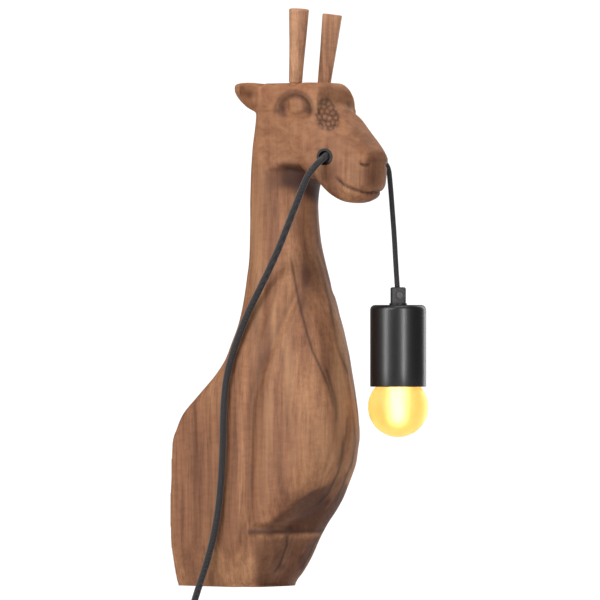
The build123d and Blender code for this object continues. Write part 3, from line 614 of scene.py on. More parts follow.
def carved_mesh(voxel):
    key = key_rings()
    n = key.shape[1]
    gap = np.linalg.norm(np.diff(key, axis=0), axis=2).mean(axis=1)
    t = np.concatenate([[0], np.cumsum(gap)])
    ts = np.concatenate([np.linspace(a, b, 8, endpoint=False) for a, b in zip(t, t[1:])] + [[t[-1]]])
    dense = monotone(t, key.reshape(len(key), -1), ts).reshape(len(ts), n, 3)
    verts = dense.reshape(-1, 3)
    faces = []
    for i in range(len(ts) - 1):
        for k in range(n):
            j = (k + 1) % n
            faces.append((i * n + k, (i + 1) * n + k, (i + 1) * n + j, i * n + j))
    faces.append(tuple(range(n)))
    faces.append(tuple(range((len(ts) - 1) * n, len(ts) * n))[::-1])
    verts = [tuple(v) for v in verts]
    # ears: leaf blades, level with the top of the head
    for side in (-1, 1):
        stations = [(12.0, 94.0, 508.0, 15.2, 7.4), (24.0, 93.0, 508.0, 15.8, 7.6), (33.0, 92.0, 509.2, 14.8, 7.2), (42.0, 91.3, 511.0, 13.0, 6.4),
                    (50.0, 90.8, 513.4, 10.4, 5.3), (56.5, 90.4, 515.6, 7.4, 4.0), (60.3, 90.0, 517.2, 4.4, 2.2)]
        base, rings = len(verts), []
        for x, f, z, hh, th in stations:
            ring = []
            for k in range(28):
                a = 2 * math.pi * k / 28
                ring.append(len(verts))
                verts.append((side * x, f + th * math.cos(a), z + hh * math.sin(a)))
            rings.append(ring)
        for a, b in zip(rings, rings[1:]):
            for k in range(28):
                j = (k + 1) % 28
                q = (a[k], b[k], b[j], a[j])
                faces.append(q if side > 0 else q[::-1])
        faces.append(tuple(rings[0]) if side > 0 else tuple(rings[0])[::-1])
        faces.append(tuple(rings[-1])[::-1] if side > 0 else tuple(rings[-1]))
    ob = new_object("carve_tmp", [(x * MM, -f * MM, (z - DROP_Z) * MM) for x, f, z in verts], faces, False)
    fix_normals(ob)
    mod = ob.modifiers.new("r", "REMESH")
    mod.mode = "VOXEL"
    mod.voxel_size = voxel
    mod.use_smooth_shade = True
    dg = bpy.context.evaluated_depsgraph_get()
    me = bpy.data.meshes.new_from_object(ob.evaluated_get(dg))
    bpy.data.objects.remove(ob)
    return me


def read(me):
    co = np.zeros(len(me.vertices) * 3)
    me.vertices.foreach_get("co", co)
    no = np.zeros(len(me.vertices) * 3)
    me.vertices.foreach_get("normal", no)
    co, no = co.reshape(-1, 3), no.reshape(-1, 3)
    return (co[:, 0] / MM, -co[:, 1] / MM, co[:, 2] / MM + DROP_Z), (no[:, 0], -no[:, 1], no[:, 2])


def write(me, x, f, z):
    me.vertices.foreach_set("co", np.stack([x * MM, -f * MM, (z - DROP_Z) * MM], 1).ravel())
    me.update()


def relax(me, rounds, weight):
    e = np.zeros(len(me.edges) * 2, int)
    me.edges.foreach_get("vertices", e)
    e = e.reshape(-1, 2)
    n = len(me.vertices)
    co = np.zeros(n * 3)
    me.vertices.foreach_get("co", co)
    co = co.reshape(-1, 3)
    deg = np.bincount(e.ravel(), minlength=n)
    for r in range(rounds * 2):
        s = np.stack([np.bincount(e[:, 0], co[e[:, 1], c], n) + np.bincount(e[:, 1], co[e[:, 0], c], n) for c in range(3)], 1)
        lap = s / deg[:, None] - co
        k = 0.5 if r % 2 == 0 else -0.515
        w = weight(co) if callable(weight) else weight
        co = co + lap * (k * w)
    me.vertices.foreach_set("co", co.ravel())
    me.update()


JAW = [(50.0, 434.0), (66.0, 436.0), (83.0, 440.5), (100.0, 438.0), (120.0, 429.0)]
UNDER = [(40.0, 58.0), (47.5, 60.9), (66.0, 69.2), (84.6, 82.2), (97.6, 93.4), (112.5, 102.7), (127.2, 108.2), (140.3, 115.7), (160.0, 130.0)]
MOUTH = [(136.4, 426.6), (140.7, 421.5), (145.9, 416.8), (152.2, 413.5), (160.3, 410.7), (165.7, 409.2), (171.5, 408.6), (188.0, 411.0)]
NOSTRIL = [(162.5, 438.4), (166.0, 437.0), (171.0, 437.4)]
SHOULDER = [(100.0, 318.0), (97.0, 308.0), (88.0, 289.0), (73.0, 258.0), (60.5, 229.0), (52.0, 207.0), (47.5, 188.0), (45.8, 145.0), (46.0, 110.0), (47.0, 70.0)]
VEINS = [
    ([(88.4, 351.8), (101.2, 290.5), (112.7, 246.4), (129.3, 210.0), (136.6, 183.0), (135.6, 152.8)], 0.8, 0.75),
    ([(115.8, 352.4), (131.4, 296.3), (139.7, 248.4), (151.1, 219.3), (155.3, 195.4), (157.0, 152.8), (153.0, 120.0)], 0.8, 0.6),
    ([(145.9, 158.8), (144.0, 140.0), (140.3, 119.5), (129.3, 97.1), (112.7, 81.1)], 1.1, 0.8),
    ([(87.7, 57.2), (86.7, 43.7), (79.4, 22.9), (71.1, 12.5)], 1.0, 0.8),
    ([(126.2, 231.8), (136.6, 193.3), (137.6, 168.0)], 1.3, 0.85),
    ([(149.1, 180.0), (148.0, 160.0), (142.8, 138.3)], 0.8, 0.55),
    ([(61.0, 250.0), (55.0, 200.0), (52.0, 150.0), (50.0, 95.0)], 1.2, 0.25),
    ([(104.0, 46.0), (98.0, 22.0)], 0.8, 0.4),
]


def burl_cells(u, z):
    """Distances to the nearest two of the burl's round knots."""
    rng = np.random.default_rng(5)
    grid = [(113.0 + 5.3 * i + (2.6 if j % 2 else 0.0), 471.0 + 5.2 * j) for j in range(9) for i in range(6)]
    cells = np.array(grid) + rng.uniform(-1.7, 1.7, (len(grid), 2))
    return np.sort(np.hypot(u[:, None] - cells[None, :, 0], z[:, None] - cells[None, :, 1]), axis=1)[:, :2]


def carve(me):
    (x, f, z), (nx, nf, nz) = read(me)
    ax = np.abs(x)
    um = -S30 * ax + C30 * f                      # across, seen from three quarters in front of either cheek
    nc = C30 * np.abs(nx) + S30 * nf
    facing = smoothstep(0.05, 0.45, nc)
    d = np.zeros(len(x))

    # neck drawn in under the jaw
    zj = np.interp(um, [p[0] for p in JAW], [p[1] for p in JAW])
    below = zj - z
    m = smoothstep(-1.0, 8.0, below) * (1 - smoothstep(14.0, 60.0, below)) * smoothstep(58.0, 88.0, um) * (1 - smoothstep(101.0, 112.0, um)) * np.where(x < 0, 1.0, smoothstep(0.85, 0.97, np.abs(nx)))
    m = np.where(z > 330, m, 0.0)
    x = x * (1 - 0.30 * m)

    # eye: a raised arched lid round a ball set in a hollow
    eu, ez = um - 94.5, z - 493.0
    r1 = np.sqrt((eu / 17.6) ** 2 + (ez / 19.0) ** 2)
    head = smoothstep(470.0, 476.0, z) * facing * smoothstep(0.3, 0.6, np.abs(nx))
    hollow = (1 - smoothstep(0.62, 1.04, r1)) * smoothstep(-7.5, -2.5, ez)
    d -= 3.6 * hollow * head
    lid = gauss(r1 - 1.10, 0.13) * smoothstep(-3.0, 4.0, ez)
    d += 1.7 * lid * head
    r2 = ((um - 95.5) / 9.4) ** 2 + ((z - 500.0) / 9.8) ** 2
    d += 4.8 * np.sqrt(np.clip(1 - r2, 0, 1)) * head
    for cu, cz, s, k in ((83.0, 498.0, 4.2, 2.2), (107.0, 497.0, 4.4, 2.6)):
        d -= k * gauss(np.hypot(um - cu, (z - cz) * 0.8), s) * head
    low = gauss(z - 486.6 - 0.012 * (um - 95) ** 2, 1.5) * smoothstep(78, 84, um) * (1 - smoothstep(106, 112, um))
    d -= 1.2 * low * head
    # hollow of the brow on the front of the head
    brow = gauss(ax - 19.5, 4.6) * gauss(z - 497.5 + (ax - 19.5) * 0.6, 6.5) * smoothstep(0.25, 0.6, nf) * smoothstep(484, 488, z)
    d -= 0.7 * brow
    # bubbly burl
    burl_m = (1 - smoothstep(0.75, 1.05, np.sqrt(((S30 * x + C30 * f - 128.0 + 0.12 * (z - 491.0)) / (13.2 - 0.18 * (z - 491.0))) ** 2 + ((z - 490.5) / 19.5) ** 2))) * facing * (1 - smoothstep(0.2, 0.6, nx))
    dist = burl_cells(S30 * x + C30 * f, z)
    edge = gauss(dist[:, 1] - dist[:, 0], 1.3)
    d += (0.7 * gauss(dist[:, 0], 3.2) - 0.75 * edge) * burl_m

    # muzzle: mouth, lower lip, nostril, crease round the nose pad
    dm, sm = seg_dist(um, z, MOUTH)
    muzzle = facing * smoothstep(128, 134, um) * smoothstep(395, 399, z) * (1 - smoothstep(434, 438, z))
    mouth = gauss(dm, 1.25) * muzzle * smoothstep(0.0, 0.08, sm)
    d -= 2.2 * mouth
    zm = np.interp(um, [p[0] for p in MOUTH], [p[1] for p in MOUTH])
    d += 0.9 * gauss(z - zm + 5.0, 3.0) * muzzle * smoothstep(140, 150, um)
    d += 0.9 * gauss(z - zm - 7.0, 5.0) * muzzle * smoothstep(150, 165, um)
    dn, _ = seg_dist(um, z, NOSTRIL)
    nostril = gauss(dn, 1.5) * facing
    d -= 1.9 * nostril
    crease = gauss(z - 439.2 - 0.10 * (um - 176), 1.1) * smoothstep(168, 172, um) * facing
    d -= 0.5 * crease
    d += 0.7 * gauss(z - 444.0, 3.0) * smoothstep(160, 172, um) * facing

    # ear: hollow on its forward face
    ear = smoothstep(36.0, 42.0, ax) * (1 - smoothstep(54.0, 58.5, ax)) * smoothstep(0.15, 0.6, nf) * smoothstep(490, 495, z)
    d -= 2.6 * ear * gauss(z - 506.5 - (ax - 30) * 0.33, 6.0)

    # shoulder valley and the ridge behind it
    ds, ss = seg_dist(um, z, SHOULDER)
    trunk = smoothstep(0.0, 0.35, nc) * (1 - smoothstep(322, 345, z))
    d -= (4.0 - 2.4 * ss) * gauss(ds, 6.2 - 1.5 * ss) * trunk * smoothstep(0.0, 0.08, ss)
    dr, sr = seg_dist(um, z, [(88.0, 316.0), (73.0, 284.0), (57.0, 252.0), (46.0, 225.0)])
    d += 1.5 * gauss(dr, 5.0) * trunk
    dr2, _ = seg_dist(um, z, [(104.0, 300.0), (92.0, 268.0), (84.0, 236.0), (80.0, 200.0)])
    d += 1.1 * gauss(dr2, 5.0) * trunk

    # soft upright gouges over the breast
    ang = np.arctan2(x, np.maximum(f - 92.0, 1.0))
    breast = smoothstep(98, 108, f) * smoothstep(74, 100, z) * (1 - smoothstep(255, 330, z))
    d += 0.95 * np.sin(ang * 11.5 + 0.012 * (z - 160) * np.sign(x) + 1.4 * wobble(x, f, z * 0.3, 4, 30.0)) * breast * (1 - 0.45 * smoothstep(0.6, 0.9, nf))

    # breast's underside, the undercut and the legs' front
    front = smoothstep(40.0, 52.0, um) * smoothstep(0.05, 0.4, nc) * (1 - smoothstep(-4.0, 16.0, x))
    zu = np.interp(um, [p[0] for p in UNDER], [p[1] for p in UNDER])
    under = np.clip(zu - z, 0, 36.0) * smoothstep(50.0, 60.0, z)
    keep = 1 - 0.65 * smoothstep(100, 130, um)
    d -= 0.22 * under * front * keep
    d -= 3.0 * gauss(z - 61.5, 4.2) * front * keep
    leg = 1 - smoothstep(50.0, 58.5, z)
    legside = smoothstep(41.5, 46.5, um) * smoothstep(0.05, 0.4, nc) * (1 - smoothstep(-4.0, 16.0, x))
    d -= (3.0 + 1.2 * smoothstep(10, 50, z)) * leg * legside * (1 - 0.8 * smoothstep(92, 112, um))
    d += 0.5 * gauss(z - 56.5, 1.8) * legside * 0.6 * keep

    # the carver's long facets, everywhere but the back
    free = smoothstep(3.0, 10.0, f) * smoothstep(3.0, 9.0, z)
    d += 0.42 * wobble(x, f, z * 0.35, 7, 14.0) * free
    d += 0.18 * wobble(x * 1.3, f * 1.3, z * 0.5, 9, 5.0) * free
    x, f, z = x + nx * d, f + nf * d, z + nz * d
    z = np.where(z < 1.7, 0.0, z)
    f = np.where((f < 0.7) & (z < 150), 0.0, f)
    write(me, x, f, z)


def paint(me):
    """Figure of the wood and painted shade as point attributes: darker patches, fine dark lines and paler sapwood,
    and painted shade in the hollows, grooves and bores.
    """
    (x, f, z), (nx, nf, nz) = read(me)
    ax = np.abs(x)
    um = -S30 * ax + C30 * f + np.where(x > 0, 7.0, 0.0)
    ut = S30 * x + C30 * f                        # the same without the mirror, for the middle of the breast
    nc = C30 * np.abs(nx) + S30 * nf
    use = np.where(x > 12, um, ut)
    mirrored = use
    use = np.where(z > 395, ut, use)
    umr = -S30 * ax + C30 * f
    near = smoothstep(-0.1, 0.2, -C30 * nx + S30 * nf)
    warp = 2.2 * wobble(x, f, z, 21, 16.0)
    dark = np.zeros(len(x))
    # darker patches of the figure, with painted shade among them: under the jaw (98, 424) and (113, 414), on the
    # snout, nose and bridge (168, 426), (180, 440) and (160, 462), in the eye's side pockets (83, 497) and (107,
    # 496), in the undercut under the breast (118, 88) and (82, 62), and on the legs' front (84, 30) and (106, 28)
    for cu, cz, su, sz, k in ((110.0, 326.0, 12.0, 26.0, 1.1), (103.0, 300.0, 7.0, 16.0, 0.8), (92.0, 270.0, 4.5, 22.0, 0.35), (46.0, 512.5, 10.0, 3.2, 0.5),
                              (136.0, 205.0, 5.0, 26.0, 0.35), (118.0, 88.0, 30.0, 17.0, 1.25), (144.0, 100.0, 12.0, 22.0, 0.6), (126.0, 234.0, 9.0, 20.0, 0.7), (150.5, 499.5, 3.2, 6.5, 1.0), (82.0, 62.0, 30.0, 7.0, 1.1),
                              (84.0, 30.0, 20.0, 26.0, 1.05), (106.0, 28.0, 14.0, 26.0, 0.9), (98.0, 424.0, 27.0, 10.0, 1.25),
                              (113.0, 414.0, 11.0, 14.0, 1.1), (118.0, 395.0, 8.0, 40.0, 0.25), (47.0, 120.0, 3.5, 60.0, 0.25), (20.0, 90.0, 26.0, 60.0, 0.15),
                              (168.0, 426.0, 21.0, 14.0, 0.74), (180.0, 440.0, 17.0, 12.0, 0.66), (160.0, 462.0, 15.0, 14.0, 0.66), (83.0, 497.0, 4.5, 6.0, 1.1), (107.0, 496.0, 5.0, 6.5, 1.1)):
        q = ((use + warp - cu) / su) ** 2 + ((z + warp * 2 - cz) / sz) ** 2
        dark = np.maximum(dark, k * np.exp(-q))
    dark = dark * np.clip(0.8 + 0.5 * wobble(x * 3, f * 3, z, 5, 9.0), 0.2, 1.3) * smoothstep(-0.3, 0.1, nc)
    # painted shade in the hollows: under the jaw, under the breast, the ledge above the legs, the step at the legs'
    # side, the shoulder valley and round the eye
    far = smoothstep(0.6, 0.9, nx)
    uj = ut * (1 - far) + umr * far
    zj = np.interp(uj, [p[0] for p in JAW], [p[1] for p in JAW])
    jaw = smoothstep(-3.0, 6.0, zj - z + warp) * (1 - smoothstep(20.0, 33.0, zj - z + 2 * warp)) * smoothstep(66.0, 88.0, uj + 2 * warp) * (f < 150)
    dark = np.maximum(dark, (1.0 + 0.35 * smoothstep(90, 112, uj)) * jaw * (1 - 0.25 * smoothstep(-0.2, 0.6, wobble(x, f, z, 31, 6.0))))
    zu = np.interp(use, [p[0] for p in UNDER], [p[1] for p in UNDER])
    belly = smoothstep(-1.0, 5.0, zu - z + 0.7 * warp) * smoothstep(54.0, 58.0, z) * smoothstep(45.0, 62.0, use) * (1 - 0.7 * smoothstep(124.0, 135.0, use))
    dark = np.maximum(dark, (0.62 + 0.38 * smoothstep(84.0, 108.0, use)) * belly)
    dark = np.maximum(dark, 1.0 * gauss(z - 58.0 - 0.2 * warp, 3.2) * smoothstep(42.0, 50.0, use))
    dark = np.maximum(dark, 0.42 * gauss(use - 44.5 + 0.3 * warp, 2.6) * smoothstep(10.0, 40.0, z) * (1 - smoothstep(60.0, 80.0, z)))
    dsh, _ = seg_dist(umr + 0.4 * warp, z, SHOULDER)
    dark = np.maximum(dark, 0.50 * gauss(dsh, 3.0) * smoothstep(0.0, 0.35, nc))
    arch = np.sqrt(((umr - 94.5) / 17.6) ** 2 + ((z - 493.0) / 19.0) ** 2)
    eye = smoothstep(0.3, 0.6, np.abs(nx)) * smoothstep(480.0, 486.0, z)
    dark = np.maximum(dark, 0.75 * gauss(arch - 1.12, 0.11) * smoothstep(-6.0, 4.0, z - 493.0) * eye)
    dark = np.maximum(dark, 0.6 * gauss(arch - 0.85, 0.16) * smoothstep(-9.0, 0.0, z - 493.0) * eye)
    for cu, cz, su, sz in ((82.5, 496.0, 3.6, 7.0), (108.0, 494.5, 4.6, 5.0)):
        dark = np.maximum(dark, 1.15 * np.exp(-((umr - cu) / su) ** 2 - ((z - cz) / sz) ** 2) * eye)
    # painted light: the raised ball of the eye kept lighter than the shaded pockets round it
    ball = ((umr - 95.5) / 7.6) ** 2 + ((z - 499.0) / 8.0) ** 2
    dark = dark * (1 - 0.75 * (1 - smoothstep(0.6, 1.3, ball)) * eye)
    # painted shade on the recessed front of the legs
    dark = np.maximum(dark, 0.68 * (1 - smoothstep(48.0, 56.0, z)) * smoothstep(46.0, 60.0, use + warp))
    # painted shade under the jaw, under the breast and on the ledge, in the darkest colour
    veins_and_shade = 0.60 * jaw * smoothstep(74.0, 92.0, uj) + 0.22 * belly + 0.25 * gauss(z - 58.0 - 0.2 * warp, 2.6) * smoothstep(42.0, 50.0, use)
    for pts, s, k in VEINS:
        dv, sv = seg_dist(use + 0.5 * warp, z, pts)
        fade = smoothstep(0.0, 0.12, sv) * (1 - 0.8 * smoothstep(0.85, 1.0, sv))
        veins_and_shade = np.maximum(veins_and_shade, k * gauss(dv, s + 0.6) * fade * smoothstep(0.0, 0.3, nc))
        dark = np.maximum(dark, 0.16 * k * gauss(dv, 4.0) * fade * smoothstep(0.0, 0.3, nc))
    # painted shade in the carved grooves: the mouth, the nostril and the ring inside the eye's lid
    dm, sm = seg_dist(um, z, MOUTH)
    veins_and_shade = np.maximum(veins_and_shade, 0.85 * gauss(dm, 1.2) * smoothstep(0.0, 0.1, sm) * smoothstep(130, 136, um) * smoothstep(0.1, 0.4, nc))
    dn, _ = seg_dist(umr, z, NOSTRIL)
    veins_and_shade = np.maximum(veins_and_shade, 0.9 * gauss(dn, 1.3) * smoothstep(0.1, 0.4, nc))
    eu, ez = umr - 94.5, z - 493.0
    r1 = np.sqrt((eu / 17.6) ** 2 + (ez / 19.0) ** 2)
    side = smoothstep(0.3, 0.6, np.abs(nx)) * smoothstep(478, 484, z)
    veins_and_shade = np.maximum(veins_and_shade, 0.55 * gauss(r1 - 0.93, 0.09) * smoothstep(-5, 2, ez) * side)
    dist = burl_cells(ut, z)
    burl = (1 - smoothstep(0.75, 1.05, np.sqrt(((ut - 128.0 + 0.12 * (z - 491.0)) / (13.2 - 0.18 * (z - 491.0))) ** 2 + ((z - 490.5) / 19.5) ** 2))) * smoothstep(0.05, 0.4, nc) * (1 - smoothstep(0.2, 0.6, nx))
    veins_and_shade = np.maximum(veins_and_shade, 0.72 * gauss(dist[:, 1] - dist[:, 0], 1.2) * burl)
    dark = np.maximum(dark, burl * (0.80 - 0.6 * gauss(dist[:, 0], 1.8)))
    pale = np.zeros(len(x))
    for cu, cz, su, sz, k in ((55.0, 350.0, 5.5, 110.0, 0.5), (74.0, 275.0, 5.0, 32.0, 0.35), (88.0, 226.0, 5.0, 38.0, 0.50), (67.0, 185.0, 4.5, 40.0, 0.40), (140.0, 190.0, 7.0, 60.0, 0.5), (131.0, 140.0, 12.0, 30.0, 0.35), (104.0, 150.0, 10.0, 45.0, 0.14),
                              (120.0, 500.0, 18.0, 8.0, 0.2), (60.0, 150.0, 5.0, 60.0, 0.2), (156.0, 150.0, 5.0, 40.0, 0.2)):
        q = ((mirrored + warp - cu) / su) ** 2 + ((z - cz) / sz) ** 2
        pale = np.maximum(pale, k * np.exp(-q))
    pale = pale * np.clip(0.75 + 0.6 * wobble(x * 2.2, f * 2.2, z * 0.25, 15, 8.0), 0.0, 1.3)
    # painted shade: the insides of the two cord bores made nearly black
    for p in (NEAR_EXIT, FAR_EXIT):
        px, pf, pz = p.x / MM, -p.y / MM, p.z / MM + DROP_Z
        inside = (np.hypot(f - pf, z - pz) < (8.0 if px < 0 else 6.7)) & (np.sign(x) == np.sign(px)) & (ax > 8.0)
        veins_and_shade = np.where(inside, 1.0, veins_and_shade)
    calm = smoothstep(424.0, 450.0, z + 3 * warp)
    for name, val in (("dark", dark), ("veins_and_shade", veins_and_shade), ("pale", pale), ("calm", calm)):
        a = me.attributes.get(name) or me.attributes.new(name, "FLOAT", "POINT")
        a.data.foreach_set("value", np.clip(val, 0, 1).astype(np.float32))


def cut_with(ob, cutter):
    mod = ob.modifiers.new("b", "BOOLEAN")
    mod.operation = "DIFFERENCE"
    mod.solver = "EXACT"
    mod.object = cutter
    dg = bpy.context.evaluated_depsgraph_get()
    me = bpy.data.meshes.new_from_object(ob.evaluated_get(dg))
    ob.modifiers.clear()
    old = ob.data
    ob.data = me
    bpy.data.meshes.remove(old)
    cm = cutter.data
    bpy.data.objects.remove(cutter)
    bpy.data.meshes.remove(cm)


def box_obj(x0, x1, f0, f1, z0, z1):
    v = [at(x, f, z) for x in (x0, x1) for f in (f0, f1) for z in (z0, z1)]
    fc = [(0, 1, 3, 2), (4, 6, 7, 5), (0, 4, 5, 1), (2, 3, 7, 6), (0, 2, 6, 4), (1, 5, 7, 3)]
    ob = new_object("cut_tmp", v, fc, False)
    fix_normals(ob)
    return ob


def rod_obj(a, b, r, segs=48):
    d = (b - a).normalized()
    n = d.orthogonal().normalized()
    m = d.cross(n)
    v = [p + (n * math.cos(2 * math.pi * k / segs) + m * math.sin(2 * math.pi * k / segs)) * r for p in (a, b) for k in range(segs)]
    fc = [(k, (k + 1) % segs, segs + (k + 1) % segs, segs + k) for k in range(segs)]
    fc += [tuple(range(segs))[::-1], tuple(range(segs, 2 * segs))]
    ob = new_object("cut_tmp", v, fc, False)
    fix_normals(ob)
    return ob


me = carved_mesh(0.0017)
relax(me, 2, 1.0)
carve(me)
relax(me, 1, lambda co: np.where(co[:, 2] < -0.0725, 0.0, 0.8)[:, None])
body = bpy.data.objects.new("carved_giraffe", me)
scene.collection.objects.link(body)
NEAR_N, FAR_N = Vector((-0.963, -0.27, 0)).normalized(), Vector((0.963, -0.27, 0)).normalized()
for p, n, r in ((NEAR_EXIT, NEAR_N, 0.0074), (FAR_EXIT, FAR_N, 0.0060)):
    cut_with(body, rod_obj(p - n * 0.016, p + n * 0.03, r))
cut_with(body, box_obj(-46.0, 46.0, -3.0, 1.6, 120.0, 148.0))
cut_with(body, box_obj(-38.5, 38.5, -3.0, 10.0, 122.5, 145.5))
paint(body.data)
shade(body, 48.0)
body.data.materials.clear()
body.data.materials.append(M_WOOD)
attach(body, "statue")
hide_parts("carved_body")
print("carved mesh", len(body.data.vertices), "vertices", len(body.data.polygons), "faces")

# ---------------------------------------------------------------- horns
HORNS = {"horn_right": (-1, 599.5), "horn_left": (1, 595.5)}


def whittled_horn(node, side, top, seed):
    a, b = Vector((side * 24.2, 140.2, 523.5)), Vector((side * 28.2, 148.0, top))
    d = (b - a).normalized()
    n1 = d.cross(Vector((0, 1, 0))).normalized()
    n2 = d.cross(n1)
    rng = np.random.default_rng(seed)
    facets = [(rng.uniform(0, 6.28), rng.uniform(0.3, 0.9)) for _ in range(7)]
    segs, rows = 72, 46
    length = (b - a).length
    verts, faces = [], []
    for i in range(rows + 1):
        t = i / rows
        s = -20.0 + (length + 20.0) * t
        q = max(s, 0.0) / length
        rad = 6.9 + 3.5 * q ** 1.1
        if s < -1.0:
            rad = 5.4
        for k in range(segs):
            ang = 2 * math.pi * k / segs
            r = rad
            for fa, depth in facets:
                c = math.cos(ang - fa - 0.2 * math.sin(q * 3 + fa))
                limit = (rad - depth * (0.4 + q)) / max(c, 1e-3)
                if c > 0.6:
                    r = min(r, limit)
            r *= 1 + 0.006 * math.sin(9 * q + 3 * ang + seed)
            p = a + d * s + n1 * (r * math.cos(ang)) + n2 * (r * math.sin(ang))
            verts.append(p)
    base = rows * segs
    ring = list(range(base, base + segs))
    for i in range(rows):
        for k in range(segs):
            j = (k + 1) % segs
            faces.append((i * segs + k, i * segs + j, (i + 1) * segs + j, (i + 1) * segs + k))
    centre = a + d * length
    for inset, up in ((0.94, 0.75), (0.86, 1.0)):
        new = []
        for k in ring[:segs] if inset == 0.94 else ring:
            pass
        src = base if inset == 0.94 else len(verts) - segs
        start = len(verts)
        for k in range(segs):
            p0 = verts[base + k]
            verts.append(centre + (p0 - centre) * inset + d * up)
        for k in range(segs):
            j = (k + 1) % segs
            faces.append((src + k, src + j, start + j, start + k))
    last = len(verts) - segs
    faces.append(tuple(range(last, last + segs)))
    faces.append(tuple(range(segs))[::-1])
    ob = new_object(node + "_carved", [at(*v) for v in verts], faces, True, 30.0)
    fix_normals(ob)
    ob.data.materials.append(M_HORN)
    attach(ob, "statue")
    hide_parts(node)
    return ob


for i, (node, (side, top)) in enumerate(HORNS.items()):
    whittled_horn(node, side, top - 1.0, 3 + i)

# ---------------------------------------------------------------- lamp
LX, LF = 52.2, 215.7
CUP_R, CUP_B, CUP_T = 29.1, 208.4, 293.2
shoulder = [(CUP_R - 5.2 + 5.2 * math.cos(a), CUP_T - 5.2 + 5.2 * math.sin(a)) for a in [math.radians(9 * k) for k in range(11)]]
inner_sh = [(CUP_R - 5.2 + 4.2 * math.cos(a), CUP_T - 5.2 + 4.2 * math.sin(a)) for a in [math.radians(90 - 9 * k) for k in range(11)]]
cup = lathe("lamp_cup_shell", [(CUP_R - 0.9, CUP_B + 0.5), (CUP_R - 0.5, CUP_B), (CUP_R - 0.15, CUP_B + 0.1), (CUP_R, CUP_B + 0.5), (CUP_R, CUP_B + 20), (CUP_R, CUP_B + 50)] + shoulder
            + [(14.0, CUP_T), (5.3, CUP_T), (5.3, CUP_T - 1.0), (14.0, CUP_T - 1.0)] + inner_sh + [(CUP_R - 1.0, CUP_B + 50), (CUP_R - 1.0, CUP_B + 20)], LX, LF, 128, 60.0)
cup.data.materials.append(M_CUP)
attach(cup, "lampholder")
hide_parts("lamp_cup")

BULB_R, BULB_C = 31.4, 187.4


def glass_profile(off):
    r = BULB_R - off
    pts = [(r * math.cos(math.radians(-90 + i * 4.6)), BULB_C + r * math.sin(math.radians(-90 + i * 4.6))) for i in range(0, 31)]
    pts[0] = (0.0, BULB_C - r)
    neck = [(20.2, 219.3), (18.2, 222.7), (16.2, 226.2), (14.2, 230.0), (12.9, 233.4), (12.35, 236.0)]
    return pts + [(a - off, b) for a, b in neck]


glass = lathe("bulb_globe", glass_profile(0.0) + [(11.9, 237.4)] + glass_profile(0.9)[::-1], LX, LF, 96, 60.0, closed=False)
mg = Mat("amber_lit_glass")
nz = mg.noise(mg.mapped((1, 1, 0.6)), 70.0, 3.0, 0.6)
mg.link(mg.ramp(nz, [(0.3, srgb(252, 214, 140)), (0.7, srgb(255, 226, 160))]), mg.b.inputs["Base Color"])
mg.link(mg.ramp(nz, [(0.3, srgb(250, 200, 124)), (0.7, srgb(254, 216, 148))]), mg.b.inputs["Emission Color"])
mg.set(trans=1.0, ior=1.3, spec=0.5, emit_s=0.22)
mg.rough(mg.noise(mg.mapped(), 30.0, 2.0), 0.5, 0.6)
glass.data.materials.append(mg.m)
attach(glass, "bulb")
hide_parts("bulb_glass")
for ob in (glass, NODES["led_filaments"], NODES["bulb_stem"]):
    ob.visible_diffuse = False

# filaments: thin strips between the stem and its foot, glowing
ml = Mat("glowing_filament")
beads = ml.noise(ml.mapped((1, 1, 1)), 500.0, 2.0)
ml.link(ml.ramp(beads, [(0.3, srgb(255, 232, 190)), (0.7, srgb(255, 246, 225))]), ml.b.inputs["Emission Color"])
ml.link(ml.ramp(beads, [(0.3, srgb(250, 210, 120)), (0.7, srgb(255, 230, 160))]), ml.b.inputs["Base Color"])
ml.set(emit_s=9.0, rough=0.5)
M_FILAMENT = ml.m
ms = Mat("stem_glass")
sn = ms.noise(ms.mapped(), 60.0, 2.0)
ms.link(ms.ramp(sn, [(0.3, srgb(255, 236, 190)), (0.7, srgb(255, 246, 214))]), ms.b.inputs["Base Color"])
ms.link(ms.ramp(sn, [(0.3, srgb(255, 230, 185)), (0.7, srgb(255, 238, 205))]), ms.b.inputs["Emission Color"])
ms.set(trans=0.9, ior=1.3, emit_s=2.4)
ms.rough(sn, 0.05, 0.15)
M_STEM = ms.m
mi = plastic("bulb_insulator_glass", srgb(30, 26, 40), 0.15, 0.05)

CAD_LOOK = {
    "grommet_near": M_RUBBER, "grommet_far": M_RUBBER, "hanger_plate": M_ZINC, "hanger_screws": M_ZINC, "flex_in_head": M_FLEX,
    "hank_tie": M_RUBBER, "switch_front": M_SWITCH, "switch_back": M_SWITCH, "switch_rocker": M_SWITCH, "switch_screws": M_NICKEL,
    "switch_contacts": M_BRASS, "plug_body": M_PLUG, "plug_pins": M_NICKEL, "cord_grip": M_GRIP, "cord_grip_screw": M_STEELSCREW,
    "threaded_nipple": M_ZINC, "nipple_nut": M_ZINC, "socket_core": M_SOCKET, "socket_shell": M_BRASS, "centre_contact": M_BRASS,
    "terminal_screws": M_BRASS, "lamp_leads": M_LEADS, "bulb_cap": M_NICKEL, "bulb_insulator": mi, "bulb_contact": M_NICKEL,
    "bulb_stem": M_STEM, "led_filaments": M_FILAMENT,
}
for node, mat in CAD_LOOK.items():
    ob = NODES[node]
    if not len(ob.data.materials):
        ob.data.materials.append(mat)
    for s in ob.material_slots:
        s.link = "OBJECT"
        s.material = mat

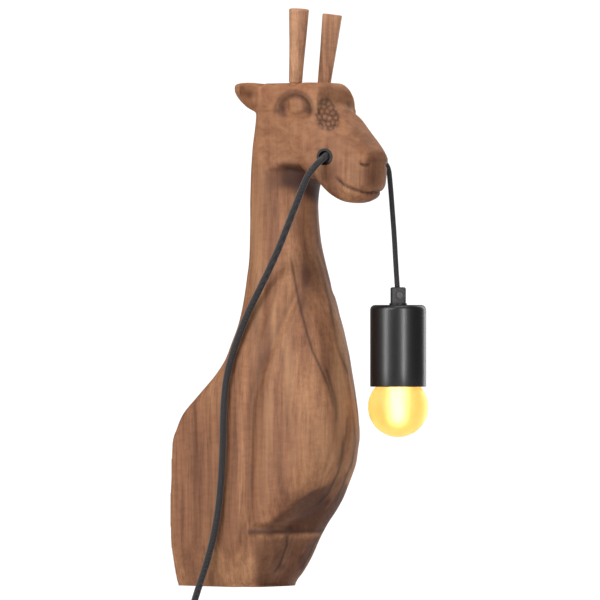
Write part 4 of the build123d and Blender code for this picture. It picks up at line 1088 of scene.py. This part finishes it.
# ---------------------------------------------------------------- floor, light, world
floor = new_object("floor", [(-4, -4, -0.3875), (4, -4, -0.3875), (4, 4, -0.3875), (-4, 4, -0.3875)], [(0, 1, 2, 3)], False)
mf = Mat("pale_floor")
mf.link(mf.ramp(mf.noise(mf.mapped(), 3.0), [(0.3, (0.78, 0.78, 0.78)), (0.7, (0.82, 0.82, 0.82))]), mf.b.inputs["Base Color"])
mf.set(rough=0.85)
floor.data.materials.append(mf.m)

world = bpy.data.worlds.new("World")
scene.world = world
world.use_nodes = True
wt = world.node_tree
wt.nodes.clear()
wo = wt.nodes.new("ShaderNodeOutputWorld")
mixw = wt.nodes.new("ShaderNodeMixShader")
lp = wt.nodes.new("ShaderNodeLightPath")
amb, seen = wt.nodes.new("ShaderNodeBackground"), wt.nodes.new("ShaderNodeBackground")
amb.inputs[0].default_value, amb.inputs[1].default_value = (1.0, 1.0, 1.0, 1.0), 0.235
seen.inputs[0].default_value, seen.inputs[1].default_value = (1.0, 1.0, 1.0, 1.0), 1.1
wt.links.new(lp.outputs["Is Camera Ray"], mixw.inputs[0])
wt.links.new(amb.outputs[0], mixw.inputs[1])
wt.links.new(seen.outputs[0], mixw.inputs[2])
wt.links.new(mixw.outputs[0], wo.inputs[0])


def area(name, back, side, up, size_x, size_y, energy, aim=(0, 0, 0)):
    pos = target - look * back + right * side + Vector((0, 0, up))
    li = bpy.data.lights.new(name, "AREA")
    li.shape = "RECTANGLE"
    li.size, li.size_y = size_x, size_y
    li.energy = energy
    ob = bpy.data.objects.new(name, li)
    scene.collection.objects.link(ob)
    ob.location = pos
    ob.rotation_mode = "QUATERNION"
    ob.rotation_quaternion = (target + Vector(aim) - pos).to_track_quat("-Z", "Y")
    return ob


area("Key", 1.7, -1.35, 1.35, 1.5, 1.5, 47.0)
area("StripRight", 1.9, 0.95, 0.25, 0.18, 1.7, 9.5)
gloss = [area("StripLeft", 1.25, -1.52, 0.15, 0.5, 1.6, 36.0), area("StripMid", 1.95, 0.86, 0.25, 0.30, 1.7, 36.0)]
for ob in gloss:
    ob.visible_diffuse = False
area("EdgeRight", -1.1, 0.95, 0.2, 0.5, 1.9, 10.5)
area("Top", 0.2, 0.1, 1.9, 1.3, 1.3, 20.0)
